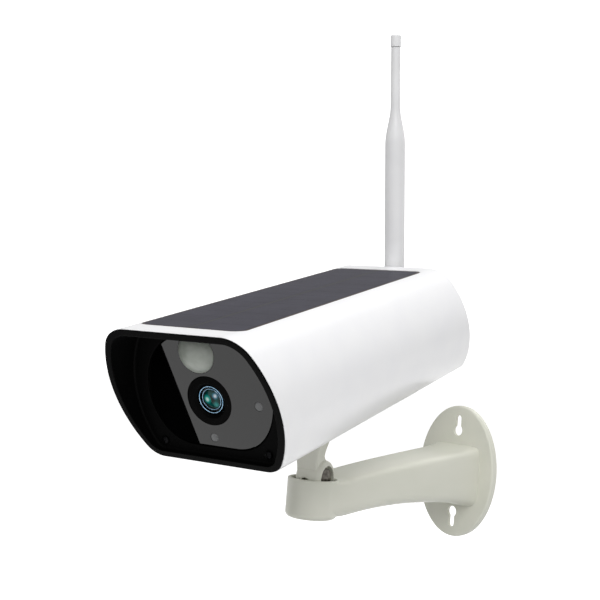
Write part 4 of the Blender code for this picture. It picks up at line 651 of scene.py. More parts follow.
# hood lining and face plate, one moulding
glassLow, glassHigh = boxIn("front_glass", faceFrame)
domeLow, domeHigh = boxIn("motion_dome", faceFrame)
domeRadius = (domeHigh.x - domeLow.x) / 2
domeX, domeY = (domeLow.x + domeHigh.x) / 2, (domeLow.y + domeHigh.y) / 2
glass = {"sideArc": 31.0 * mm, "topCorner": 14.0 * mm, "bottomCorner": 22.0 * mm,
         "ledge": 1.8 * mm, "thick": 2.0 * mm, "edge": 0.25 * mm,
         "play": {"lens_surround": 0.15 * mm, "motion_dome": 0.15 * mm, "status_window": 0.08 * mm,
                  "ir_window_left": 0.01 * mm, "ir_window_right": 0.08 * mm}}
hood = {"flange": 0.2 * mm, "wall": 1.5 * mm, "plate": 4.2 * mm, "rimEdge": 0.4 * mm,
        "fillet": 1.2 * mm, "seatEdge": 0.3 * mm, "hair": 0.1 * mm, "screwHole": 1.5 * mm,
        "cutter": (-9 * mm, 4 * mm)}  # from where to where a hole is cut, from the face plane


def glassOutline(grow):
    return barrelOf(glassHigh.x + grow, glass["sideArc"] + grow, glassHigh.y + grow,
                    glassLow.y - grow, glass["topCorner"] + grow, glass["bottomCorner"] + grow)


def makeHood():
    gap, wall, plate = sleeve["gap"], hood["wall"], hood["plate"]
    out = sleeve["wall"] + gap
    rim = -headLength / 2
    edge, fillet = hood["rimEdge"], hood["fillet"]
    turns = quarterTurn(3)
    # the rim covers the sleeve's cut end and leaves a hair of it showing
    behind = rim + sleeve["rimCover"] - hood["hair"]
    loops = [atRake(sleeveOutline(out), behind), atRake(sleeveOutline(hood["flange"]), behind)]
    loops += [atRake(sleeveOutline(hood["flange"] + edge * (1 - cos(a))), rim + edge * (1 - sin(a)))
              for a in turns]
    loops += [atRake(sleeveOutline(out + wall - edge * (1 - cos(a))), rim + edge * (1 - sin(a)))
              for a in reversed(turns)]
    loops += [atFace(sleeveOutline(out + wall + fillet * (1 - cos(a))), -fillet * (1 - sin(a)))
              for a in turns]
    seat = hood["seatEdge"]
    loops += [atFace(glassOutline(gap + seat), 0), atFace(glassOutline(gap), seat),
              atFace(glassOutline(gap), glass["thick"] + gap),
              atFace(glassOutline(-glass["ledge"]), glass["thick"] + gap),
              atFace(glassOutline(-glass["ledge"]), plate), atFace(sleeveOutline(out), plate)]
    mesh = skinOf(loops, closed=True)
    toHead = headFrame.inverted() @ faceFrame
    mesh = cut(mesh, discOf(domeRadius + gap, -plate - 3 * mm, 5 * mm, 0, 96),
               toHead @ shift(domeX, domeY, 0))
    for node in ("bezel_screw_left", "bezel_screw_right"):
        mesh = cut(mesh, discOf(hood["screwHole"], *hood["cutter"], 0, 32),
                   toHead @ spotOf(node, faceFrame))
    newPiece("hoodLining", mesh, headFrame, finishes["black_plastic"], "camera_head",
             ("front_bezel",), 40)


makeHood()
print("hood made")


# smoked glass with its openings, and the small windows in it
def makeGlass():
    mesh = prismOf(lambda inset: glassOutline(-inset), -glass["thick"], 0, glass["edge"], 2)
    for node, play in glass["play"].items():
        low, high = boxIn(node, faceFrame)
        radius = (high.x - low.x) / 2 + play
        tool = discOf(radius, -2 * glass["thick"], glass["thick"], 0, 96)
        mesh = cut(mesh, tool, spotOf(node, faceFrame))
    newPiece("smokedGlass", mesh, faceFrame, finishes["smoked_acrylic"], "camera_head",
             ("front_glass",), 12)


window = {"depth": 2.6 * mm, "edge": 0.2 * mm, "dish": 0.12 * mm, "dishShare": 0.8,
          "sunk": 0.001 * mm, "foot": 0.4 * mm, "footDeep": 0.5 * mm}


def makeWindow(name, node, finish, flush=False):
    # a light pipe with a foot behind the glass: flush with it, or with a rounded rim and a dish
    low, high = boxIn(node, faceFrame)
    r, edge = (high.x - low.x) / 2, window["edge"]
    if flush:
        profile = [(0, -window["sunk"]), (r, -window["sunk"])]
    else:
        steps = 5
        profile = [(window["dishShare"] * r * i / steps,
                    high.z - window["dish"] * (1 - (i / steps) ** 2)) for i in range(steps + 1)]
        profile += [(r - edge * (1 - sin(a)), high.z - edge * (1 - cos(a)))
                    for a in quarterTurn(2)]
    back, foot = -window["depth"], r + window["foot"]
    profile += [(r, back + window["footDeep"]), (foot, back + window["footDeep"]), (foot, back),
                (0, back)]
    newPiece(name, latheOf(profile, 48), faceFrame @ spotOf(node, faceFrame), finish,
             "camera_head", (node,))


makeGlass()
# the left window takes the glass's near-black finish, not the grey of the right one: painted shade, matching the
# dark reflection over the glass's left part
makeWindow("irWindowLeft", "ir_window_left", finishes["smoked_acrylic"], True)
makeWindow("irWindowRight", "ir_window_right", finishes["smoked_window"])
makeWindow("statusLight", "status_window", finishes["smoked_window"])
print("glass and windows made")

# motion sensor dome, pressed with shallow lens segments
dome = {"wall": 0.9 * mm, "groove": 0.06 * mm, "grooveWidth": 0.35 * mm,
        "rings": (3.6, 7.2), "spokes": 12}


def makeDome():
    rise, back = domeHigh.z, domeLow.z
    curve = (domeRadius ** 2 + rise ** 2) / (2 * rise)
    half = asin(domeRadius / curve)
    sides, steps, insideSteps = 180, 44, 10
    rows = []
    for i in range(steps + 1):
        angle = half * i / steps
        rows.append([domePoint(curve, angle, 2 * pi * k / sides) for k in range(sides)])
    hollow = curve - dome["wall"]
    rows.append([(x, y, back) for x, y in circleOf(domeRadius, sides)])
    rows.append([(x, y, back) for x, y in circleOf(domeRadius - dome["wall"], sides)])
    for i in range(insideSteps, -1, -1):
        angle = asin((domeRadius - dome["wall"]) / hollow) * i / insideSteps
        z = rise - curve + hollow * cos(angle)
        rows.append([(x, y, z) for x, y in circleOf(hollow * sin(angle), sides)])
    mesh = skinOf(rows)
    newPiece("motionDome", mesh, faceFrame @ shift(domeX, domeY, 0), finishes["sensor_dome"],
             "camera_head", ("motion_dome",), 50)


def domePoint(curve, angle, turn):
    # on the sphere, less a groove along two rings and the spokes between them
    r = curve * sin(angle)
    nearest = min(abs(r - ring * mm) for ring in dome["rings"])
    if r > dome["rings"][0] * mm:
        step = 2 * pi / dome["spokes"]
        off = abs((turn + step / 2) % step - step / 2) * r
        nearest = min(nearest, off)
    depth = dome["groove"] * max(0.0, 1 - nearest / dome["grooveWidth"])
    length = curve - depth
    return (length * sin(angle) * cos(turn), length * sin(angle) * sin(turn),
            domeHigh.z - curve + length * cos(angle))


makeDome()
print("motion dome made")

# lens: surround, barrel, rings in a painted pale blue reflection, and glass in two steps
lens = {"surroundEdge": 0.3 * mm, "surroundCone": 1.4 * mm, "gap": 0.3 * mm,
        "barrelEdge": 0.3 * mm, "barrelWall": 2.5 * mm, "lip": 1.1 * mm, "lipEdge": 0.2 * mm,
        "seat": 3.6 * mm, "ringWidth": 0.5 * mm, "ringRise": 0.12 * mm, "inner": 5.2 * mm,
        "innerRingWidth": 0.3 * mm, "innerRingSink": 0.55 * mm, "crownSink": 0.35 * mm,
        "crownRise": 0.9 * mm, "innerDrop": 1.3 * mm, "rimDrop": 1.1 * mm,
        "glassDepth": 3.3 * mm}
lensLow, lensHigh = boxIn("lens_surround", faceFrame)
barrelLow, barrelHigh = boxIn("lens_barrel", faceFrame)
surroundRadius = (lensHigh.x - lensLow.x) / 2
barrelRadius = (barrelHigh.x - barrelLow.x) / 2
lensFrame = faceFrame @ shift(0, (lensLow.y + lensHigh.y) / 2, 0)


def lensPiece(name, profile, finish, stands=(), ring=True, sides=128):
    newPiece(name, latheOf(profile, sides, ring), lensFrame, finish, "camera_head", stands,
             ownAxes=True)


def makeLens():
    edge, cone = lens["surroundEdge"], lens["surroundCone"]
    bore = barrelRadius + lens["gap"]
    depth = lensLow.z
    surround = [(surroundRadius - edge, lensHigh.z), (surroundRadius, lensHigh.z - edge),
                (surroundRadius, depth), (bore, depth), (bore, -cone),
                (bore + 0.35 * cone, -0.55 * cone), (bore + cone, lensHigh.z)]
    lensPiece("lensSurround", surround, finishes["black_plastic"],
              ("lens_surround",))
    front, lip = barrelHigh.z, barrelRadius - lens["lip"]
    edge, lipEdge = lens["barrelEdge"], lens["lipEdge"]
    bore, seat = barrelRadius - lens["barrelWall"], front - lens["seat"]
    barrel = [(barrelRadius - edge, front), (barrelRadius, front - edge),
              (barrelRadius, barrelLow.z), (bore, barrelLow.z), (bore, seat), (lip, seat),
              (lip, front - lipEdge), (lip + lipEdge, front)]
    lensPiece("lensBarrel", barrel, finishes["black_plastic"], ("lens_barrel",))
    # the clamp ring lies on the barrel's end, and a finer one round the inner glass
    rings = (("lensClampRing", lip + 0.4 * mm, front, lens["ringWidth"]),
             ("lensInnerRing", lens["inner"] + 0.2 * mm, front - lens["innerRingSink"],
              lens["innerRingWidth"]))
    for name, radius, z, width in rings:
        ring = [(radius + x, z + lens["ringRise"] + y / 2) for x, y in circleOf(width / 2, 16)]
        # both rings wear the painted pale blue reflection
        lensPiece(name, ring, paleBlueReflectionFinish)
    inner, rim = lens["inner"], lip - lens["lipEdge"]
    crown, back = front - lens["crownSink"], front - lens["glassDepth"]
    profile = [(inner * sin(a), crown + lens["crownRise"] * (cos(a) - 1))
               for a in [radians(6 * i) for i in range(15)]]
    profile += [(inner, crown - lens["innerDrop"]), (rim, crown - lens["rimDrop"]), (rim, back),
                (0, back)]
    lensPiece("lensGlass", profile, finishes["lens_glass"],
              ("lens_front_element",), False)


makeLens()
print("lens made")

# small cross-slotted screws
screw = {"slotWide": 0.6 * mm, "slotDeep": 0.6 * mm, "slotTurn": radians(20), "crown": 1.3 * mm,
         "thick": 1.4 * mm, "chamfer": 0.35 * mm, "softEdge": 0.1 * mm, "shank": 1.2 * mm}


def makeScrew(name, node, place, slotLength, pan):
    # pan gives the head's domed top; a flat head has a chamfer only
    low, high = boxIn(node, place)
    r, top, end = (high.x - low.x) / 2, high.z, low.z
    head = [(0, top)]
    if pan:
        head += [(r * sin(a), top - screw["crown"] * (1 - cos(a))) for a in quarterTurn(9)[1:]]
    else:
        chamfer, soft = screw["chamfer"], screw["softEdge"]
        head += [(r - chamfer, top), (r - soft, top - soft), (r, top - chamfer)]
    base, shank = top - screw["thick"], screw["shank"]
    head += [(r, base), (shank, base), (shank, end), (0, end)]
    mesh = latheOf(head, 48)
    for i in range(2):
        blade = blockOf((slotLength, screw["slotWide"], 2 * screw["slotDeep"]))
        turn = Matrix.Rotation(screw["slotTurn"] + i * pi / 2, 4, "Z")
        mesh = cut(mesh, blade, shift(0, 0, top) @ turn)
    newPiece(name, mesh, place @ spotOf(node, place), finishes["black_steel"],
             "camera_head", (node,))


makeScrew("frontScrewLeft", "bezel_screw_left", faceFrame, 2.5 * mm, True)
makeScrew("frontScrewRight", "bezel_screw_right", faceFrame, 2.5 * mm, True)
for number in range(1, 5):
    makeScrew(f"rearScrew{number}", f"rear_screw_{number}", rearFrame, 2.9 * mm, False)
print("screws made")

# rear cap with its boss, grille, pocket and holes
rear = {"plate": 5.0 * mm, "edge": 0.6 * mm, "bossRadius": 8.0 * mm, "bossEdge": 0.8 * mm,
        "bossDepth": 14.3 * mm, "bossPlay": 0.3 * mm, "connectorHole": 3.3 * mm,
        "pocketCorner": 1.0 * mm, "sink": 2.0 * mm, "screwSeat": 2.9 * mm, "screwHole": 1.4 * mm,
        "grilleHole": 0.9 * mm, "grilleRing": 4.4 * mm, "secondRing": 1.75,
        "roundHoles": {"microphone": 0.8 * mm, "power_button": 4.7 * mm, "reset_button": 1.4 * mm},
        "mouths": {"usb_socket": 1.8 * mm, "card_slot": 0.05 * mm},  # their corner radius
        "shortCutter": (-9 * mm, 2 * mm), "longCutter": (-14 * mm, 4 * mm)}
bossFace = boxIn("antenna_nut", headFrame)[0].y - rear["bossPlay"]
bossBack = bossFace - rear["bossDepth"]


def makeRearCap():
    gap = sleeve["gap"]
    out = sleeve["wall"] + gap
    slant = 1 / cos(atan(rake))
    outer = capY - rake * headHeight / 2
    thick, edge = rear["plate"] * slant, rear["edge"]
    turns = quarterTurn(3)
    loops = [atRake(sleeveOutline(out), outer - thick)]
    loops += [atRake(sleeveOutline(out + edge * (1 - cos(a))), outer - edge * (1 - sin(a)))
              for a in turns]
    mesh = skinOf(loops)
    toRear = headFrame.inverted() @ rearFrame
    axis = headFrame.inverted() @ swivelFrame.translation
    boss = discOf(rear["bossRadius"], bossBack, bossFace, rear["bossEdge"], 96)
    mesh = weld(mesh, boss, shift(0, 0, axis.z) @ turnBack)
    mesh = cut(mesh, discOf(rear["connectorHole"], bossBack - 9 * mm, bossFace + 9 * mm, 0, 48),
               shift(0, 0, axis.z) @ turnBack)
    low, high = boxIn("port_cover", rearFrame)
    width, height = high.x - low.x + 2 * gap, high.y - low.y + 2 * gap
    floor = -coverThick - gap
    pocket = prismOf(lambda inset: roundedBox(width, height, rear["pocketCorner"]), floor, 5 * mm)
    mesh = cut(mesh, pocket, toRear @ spotOf("port_cover", rearFrame))
    for number in range(1, 5):
        place = toRear @ spotOf(f"rear_screw_{number}", rearFrame)
        mesh = cut(mesh, discOf(rear["screwSeat"], -rear["sink"], 2 * mm, 0, 48), place)
        mesh = cut(mesh, discOf(rear["screwHole"], *rear["shortCutter"], 0, 24), place)
    speaker = toRear @ spotOf("speaker", rearFrame)
    ring = rear["grilleRing"]
    grille = [(0, 0)] + circleOf(ring, 6) + circleOf(rear["secondRing"] * ring, 12, pi / 12)
    for x, y in grille:
        mesh = cut(mesh, discOf(rear["grilleHole"], *rear["shortCutter"], 0, 20),
                   speaker @ shift(x, y, 0))
    for node, radius in rear["roundHoles"].items():
        mesh = cut(mesh, discOf(radius, *rear["longCutter"], 0, 48),
                   toRear @ spotOf(node, rearFrame))
    for node, corner in rear["mouths"].items():
        low, high = boxIn(node, rearFrame)
        size = high - low
        tool = prismOf(lambda inset: roundedBox(size.x + 2 * gap, size.y + 2 * gap, corner, 6),
                       *rear["longCutter"])
        mesh = cut(mesh, tool, toRear @ spotOf(node, rearFrame))
    newPiece("rearCap", mesh, headFrame, rearFinish, "camera_head",
             ("rear_cap",), 40)


def makePowerButton():
    # domed rubber button with a raised ring for the finger to find
    low, high = boxIn("power_button", rearFrame)
    r, top, end = (high.x - low.x) / 2, high.z, low.z
    profile = [(0, top - 0.25 * mm), (0.45 * r, top - 0.25 * mm), (0.52 * r, top - 0.05 * mm),
               (0.62 * r, top), (0.7 * r, top - 0.05 * mm), (0.76 * r, top - 0.2 * mm),
               (r - 0.5 * mm, top - 0.25 * mm), (r - 0.15 * mm, top - 0.4 * mm),
               (r, top - 0.75 * mm), (r, end), (0, end)]
    newPiece("powerButton", latheOf(profile, 72), rearFrame @ spotOf("power_button", rearFrame),
             finishes["black_rubber"], "power_button", ("power_button",), 50)


# rubber cover over the sockets
cover = {"edge": 0.35 * mm, "lip": (10 * mm, 2.4 * mm), "lipEdge": 0.4 * mm, "lipSink": 0.4 * mm,
         "groove": (0.5 * mm, 3 * mm, 0.5 * mm), "grooves": 3, "groovePitch": 2.4 * mm}


def makePortCover():
    # rubber flap: rounded slab, half-round hinge edge at the top, grooved finger lip below
    hinge = rearFrame.copy()
    hinge.translation = joints["port_cover_hinge"]["pos_m"]
    low, high = boxIn("port_cover", hinge)
    half, width = coverThick / 2, high.x - low.x
    free = high.y
    side = [(half * sin(a), half * cos(a)) for a in [pi + pi * i / 10 for i in range(11)]]
    edge = cover["edge"]
    corner = arcOf((free - edge, half - edge), edge, pi / 2, 0, 4)
    lower = arcOf((free - edge, edge - half), edge, 0, -pi / 2, 4)
    side = [(-abs(y), z) for y, z in side] + corner + lower
    turns = quarterTurn(3)
    levels = [(edge * (1 - sin(a)), -width / 2 + edge * (1 - cos(a))) for a in turns]
    levels += [(inset, -x) for inset, x in reversed(levels)]
    middle = free / 2
    loops = [[(x, middle + (y - middle) * (1 - inset / middle), z * (1 - inset / half))
              for y, z in side] for inset, x in levels]
    mesh = skinOf(loops)
    lipTop, sink = high.z - half, cover["lipSink"]
    lipWidth, lipDeep = cover["lip"]
    mesh = weld(mesh, blockOf((lipWidth, lipDeep, lipTop + sink),
                              (0, free - lipDeep, half + (lipTop - sink) / 2), cover["lipEdge"]))
    for i in range(cover["grooves"]):
        across = (i - (cover["grooves"] - 1) / 2) * cover["groovePitch"]
        mesh = cut(mesh, blockOf(cover["groove"], (across, free - lipDeep, high.z)))
    newPiece("portCover", mesh, hinge, finishes["black_rubber"], "port_cover",
             ("port_cover",), 40)


makeRearCap()
makePowerButton()
makePortCover()
print("rear made")

# antenna: ribbed elbow, hinge and stick
antenna = {"elbowRadius": 5.3 * mm, "standoff": -7.0 * mm, "cup": 3.2 * mm, "ear": 4.5 * mm,
           "earOut": 5.1 * mm, "earIn": 2.7 * mm, "pin": 1.2 * mm, "rod": 6.5 * mm,
           "rodTip": 3.0 * mm, "foot": 6.0 * mm, "shoulder": 90 * mm, "neck": 115 * mm,
           "ribs": 18, "ribDepth": 0.25 * mm, "cupEdge": 0.4 * mm, "earEdge": 0.5 * mm,
           "floor": 3.6 * mm, "socket": 3.3 * mm, "socketDeep": 1.8 * mm, "play": 0.2 * mm,
           "footEdge": 1.2 * mm, "tongueInset": 0.3 * mm, "tongueDrop": 1.2 * mm,
           "cap": 8 * mm, "capGrow": 0.4 * mm, "capEdge": 1.3 * mm, "spigot": 2.0 * mm,
           "spigotLength": 6 * mm}


def makeElbow():
    start, r = antenna["standoff"], antenna["elbowRadius"]
    ears, out, inside = antenna["ear"], antenna["earOut"], antenna["earIn"]
    sides = 10 * antenna["ribs"]

    def ribbed(inset):
        outline = []
        for x, y in circleOf(1, sides):
            depth = antenna["ribDepth"] * (0.5 - 0.5 * cos(antenna["ribs"] * atan2(y, x)))
            outline.append(((r - inset - depth) * x, (r - inset - depth) * y))
        return outline

    mesh = prismOf(ribbed, start, start + antenna["cup"], antenna["cupEdge"])
    mesh.transform(turnBack)
    foot = start + 0.1 * mm
    mesh = weld(mesh, blockOf((2 * out, -foot, 2 * ears), (0, foot / 2, 0)))
    # the ears stand a hair proud of the block, so that no two faces coincide
    mesh = weld(mesh, discOf(ears + hair, -out - hair, out + hair, antenna["earEdge"], 72), turnSide)
    floor, end = start + antenna["floor"], 12 * mm
    mesh = cut(mesh, blockOf((2 * inside, end - floor, 22 * mm), (0, (end + floor) / 2, 0)))
    mesh = cut(mesh, discOf(antenna["socket"], start - mm, start + antenna["socketDeep"], 0, 48),
               turnBack)
    bore = antenna["pin"] + antenna["play"]
    mesh = cut(mesh, discOf(bore, -out - mm, out + mm, 0, 32), turnSide)
    newPiece("antennaElbow", mesh, swivelFrame, finishes["antenna_plastic"], "antenna_elbow",
             ("antenna_elbow",), 35)


def smoothStep(share):
    return share * share * (3 - 2 * share)


def makeRod():
    r, tip, shoulder, neck = (antenna[k] for k in ("rod", "rodTip", "shoulder", "neck"))
    length = boxIn("antenna_tip_cap", rodFrame)[1].z
    capFoot = length - antenna["cap"]
    foot, edge = antenna["foot"], antenna["footEdge"]
    spigot, spigotTop, play = antenna["spigot"], capFoot + antenna["spigotLength"], antenna["play"]
    profile = [(0, spigotTop), (spigot, spigotTop), (spigot, capFoot),
               (tip - 0.2 * mm, capFoot), (tip, capFoot - 0.2 * mm)]
    steps, thinEnd = 24, tip + 0.15 * mm
    for i in range(steps + 1):
        share = i / steps
        profile.append((thinEnd + (r - thinEnd) * smoothStep(share),
                        neck - (neck - shoulder) * share))
    profile += [(r, foot + edge + 0.4 * mm)]
    profile += [(r - edge * (1 - cos(a)), foot + edge * (1 - sin(a))) for a in quarterTurn(4)]
    profile += [(0, foot)]
    mesh = latheOf(profile, 96)
    tongue = antenna["earIn"] - antenna["tongueInset"]
    tongueRadius = antenna["ear"] - antenna["tongueDrop"]
    mesh = weld(mesh, discOf(tongueRadius, -tongue, tongue, 0.2 * mm, 64), turnSide)
    mesh = weld(mesh, blockOf((2 * (tongue - hair), 2 * tongueRadius - 0.2 * mm, foot + mm),
                              (0, 0, (foot + mm) / 2)))
    mesh = cut(mesh, discOf(antenna["pin"] + play, -6 * mm, 6 * mm, 0, 32), turnSide)
    newPiece("antennaRod", mesh, rodFrame, finishes["antenna_plastic"], "antenna_rod",
             ("antenna_rod",), 35)
    cap, capEdge = tip + antenna["capGrow"], antenna["capEdge"]
    mouth, roof = capFoot + 0.3 * mm, spigotTop + 0.4 * mm
    profile = [(0, length)]
    profile += [(cap - capEdge * (1 - sin(a)), length - capEdge * (1 - cos(a)))
                for a in quarterTurn(5)]
    profile += [(cap, mouth + 0.4 * mm), (cap - 0.2 * mm, mouth), (spigot + play, mouth),
                (spigot + play, roof), (0, roof)]
    newPiece("antennaTip", latheOf(profile, 72), rodFrame, finishes["antenna_plastic"],
             "antenna_rod", ("antenna_tip_cap",), 35)


def makeHingePin():
    end, r = antenna["earOut"] + 0.3 * mm, antenna["pin"]
    profile = [(0, end), (0.6 * r, end), (r, end - 0.3 * mm), (r, 0.3 * mm - end),
               (0.6 * r, -end), (0, -end)]
    newPiece("antennaHingePin", latheOf(profile, 40), swivelFrame @ turnSide, finishes["steel"],
             "antenna_elbow", ("antenna_hinge_pin",))


def hexNut(corner, turned, edge, bore, low, high):
    # six-sided, with its corners turned off to a radius
    mesh = prismOf(lambda inset: circleOf(corner, 6), low, high)
    mesh = boolean(mesh, discOf(turned, low - hair, high + hair, edge, 72), Matrix.Identity(4),
                   "INTERSECT")
    return cut(mesh, discOf(bore, low - mm, high + mm, 0, 48))


def makeConnectorNut():
    low, high = boxIn("antenna_nut", headFrame)
    place = headFrame @ shift(0, 0, (low.z + high.z) / 2) @ turnBack
    mesh = hexNut(5.0 * mm, 4.85 * mm, 0.5 * mm, 3.3 * mm, low.y, high.y)
    newPiece("connectorNut", mesh, place, finishes["gold_plate"], "camera_head",
             ("antenna_nut",))


makeElbow()
makeRod()
makeHingePin()
makeConnectorNut()
print("antenna made")

# wall bracket: oval plate with two keyholes, arm and tip, in one moulding
plateLow, plateHigh = boxIn("wall_bracket", Matrix.Identity(4))
reach = -Vector(joints["pan"]["pos_m"]).y
bracket = {"plateWidth": 60.6 * mm, "plateThick": 5.6 * mm, "plateEdge": 1.4 * mm,
           "keyholeZ": 27 * mm, "keyhole": 3.6 * mm, "slot": 2.3 * mm, "slotLength": 6.6 * mm,
           "web": 2.4 * mm, "pocket": 3.0 * mm, "rootHalf": 18 * mm, "rootTop": 16.6 * mm,
           "bottoms": (-22.5 * mm, -17.0 * mm, -20.8 * mm),  # underside at tip, middle and plate
           "squareTop": 8.0, "squareTip": 3.6, "squareRoot": 6.0,  # more is squarer
           "climb": 0.8, "flareStart": 0.86, "flare": 1.2 * mm, "fillRun": 0.1, "fill": 1.5 * mm,
           "tipRadius": 14.97 * mm, "tipEdge": 3.0 * mm, "rimEdge": 0.8 * mm,
           "cupWall": 1.6 * mm, "cupMouth": 1.5 * mm,
           "screwHole": 2.6 * mm, "headPocket": 6.4 * mm, "headDeep": 4.2 * mm, "play": 0.3 * mm}
tipBottom = boxIn("pan_washer", Matrix.Identity(4))[1].z + bracket["play"] - bracket["headDeep"]


def armSection(behind):
    length = reach - bracket["plateThick"]
    run = behind / length
    flare = max(0.0, (run - bracket["flareStart"]) / (1 - bracket["flareStart"])) ** 2
    tip = bracket["tipRadius"]
    halfWidth = tip + (bracket["rootHalf"] - tip) * run + bracket["flare"] * flare
    climb = max(0.0, (behind - tip) / (length - tip))
    top = bracket["rootTop"] * climb ** bracket["climb"] + bracket["flare"] * flare - 5 * hair
    first, middle, last = bracket["bottoms"]
    sag = 2 * middle - (first + last) / 2
    bottom = first * (1 - run) ** 2 + 2 * sag * run * (1 - run) + last * run ** 2
    bottom -= bracket["flare"] * flare
    # near the tip the underside fills out, so that it runs on from the tip without a step
    near = run / bracket["fillRun"]
    bottom -= bracket["fill"] * near * exp(1 - near)
    centre, half = (top + bottom) / 2, (top - bottom) / 2
    squareBottom = bracket["squareTip"] + (bracket["squareRoot"] - bracket["squareTip"]) * run
    points = []
    for x, z in circleOf(1, 96, pi / 96):
        power = 2 / (bracket["squareTop"] if z > 0 else squareBottom)
        x = halfWidth * abs(x) ** power * (1 if x > 0 else -1)
        z = half * abs(z) ** power * (1 if z > 0 else -1)
        points.append((x, behind - reach, centre + z))
    return points


def keyholeOf(sign):
    theta = asin(bracket["slot"] / bracket["keyhole"])
    far = bracket["keyhole"] + bracket["slotLength"] - bracket["slot"]
    outline = arcOf((0, 0), bracket["keyhole"], pi / 2 + theta, 5 * pi / 2 - theta, 40)
    outline += arcOf((0, far), bracket["slot"], 0, pi, 20)
    return [(x, sign * y) for x, y in outline][::sign]


def makeBracket():
    thick, width, height = bracket["plateThick"], bracket["plateWidth"], plateHigh.z - plateLow.z

    def oval(inset):
        return [(x * (width / 2 - inset), y * (height / 2 - inset)) for x, y in circleOf(1, 160)]

    mesh = prismOf(oval, 0, thick, bracket["plateEdge"], 5)
    tall = bracket["slotLength"]
    for sign in (1, -1):
        spot = shift(0, sign * bracket["keyholeZ"], 0)
        mesh = cut(mesh, prismOf(lambda inset: keyholeOf(sign), -mm, thick + mm), spot)
        pocket = roundedBox(2 * (bracket["keyhole"] + bracket["pocket"]),
                            2 * bracket["keyhole"] + tall + 2 * bracket["pocket"],
                            bracket["pocket"])
        mesh = cut(mesh, prismOf(lambda inset: pocket, -mm, thick - bracket["web"]),
                   shift(0, sign * (bracket["keyholeZ"] + tall / 2), 0))
    mesh.transform(turnForward)
    tip, root = bracket["tipRadius"], reach - thick / 2
    stations = [0] + [tip + (root - tip) * i / 48 for i in range(49)]
    mesh = weld(mesh, skinOf([armSection(behind) for behind in stations]))
    low = tipBottom
    rim, edge = bracket["rimEdge"], bracket["tipEdge"]
    profile = [(0, 0)] + [(tip - rim * (1 - sin(a)), -rim * (1 - cos(a)))
                          for a in quarterTurn(6)]
    profile += [(tip - edge * (1 - cos(a)), low + edge * (1 - sin(a)))
                for a in quarterTurn(8)] + [(0, low)]
    place = shift(0, -reach, 0)
    mesh = weld(mesh, latheOf(profile, 128), place)
    cup = tip - bracket["cupWall"]
    cupFloor = boxIn("friction_disc", Matrix.Identity(4))[0].z - bracket["play"]
    hole, roof, pocket = bracket["screwHole"], low + bracket["headDeep"], bracket["headPocket"]
    mouth = cup + bracket["cupMouth"]
    bore = [(0, mm), (mouth, mm), (cup, -0.5 * mm), (cup, cupFloor), (hole, cupFloor),
            (hole, roof), (pocket, roof), (pocket, low - mm), (0, low - mm)]
    mesh = cut(mesh, latheOf(bore, 128), place)
    newPiece("wallBracket", mesh, Matrix.Identity(4), finishes["bracket_plastic"], "bracket",
             ("wall_bracket",), 34)


makeBracket()
print("bracket made")

# knuckle that carries the head, with its bolt and nut
knuckle = {"barrel": 10.5 * mm, "boltSide": 9.0 * mm, "nutSide": 7.0 * mm, "edge": 2.6 * mm,
           "postEdge": 1.2 * mm, "front": -7.7 * mm, "slot": 3.7 * mm, "tongue": 7.6 * mm,
           "recess": 7.4 * mm, "recessDeep": 2.6 * mm, "relief": 2.8 * mm, "boltHole": 2.6 * mm,
           "nutRecess": 5.4 * mm, "nutDeep": 2.0 * mm, "studHole": 3.3 * mm, "studFoot": 24.7 * mm,
           "mouth": (88, 60, 30, 0, -25, -48)}  # degrees round the bolt that the slot opens over
# height, half width and back of the post, from its foot to the underside of the head
postSections = [(-3.0, 6.9, 4.0), (6.0, 6.9, 6.6), (12.6, 6.9, 2.4), (25.0, 9.6, 6.3),
                (36.7, 9.6, 6.3)]


def postAt(height):
    # between two sections the post swells smoothly
    for (z0, w0, b0), (z1, w1, b1) in zip(postSections, postSections[1:]):
        if height <= z1 + 1e-9:
            share = (height - z0) / (z1 - z0)
            soft = smoothStep(share)
            return (w0 + (w1 - w0) * (0.5 * share + 0.5 * soft),
                    b0 + (b1 - b0) * (0.5 * share + 0.5 * soft))
    return postSections[-1][1:]


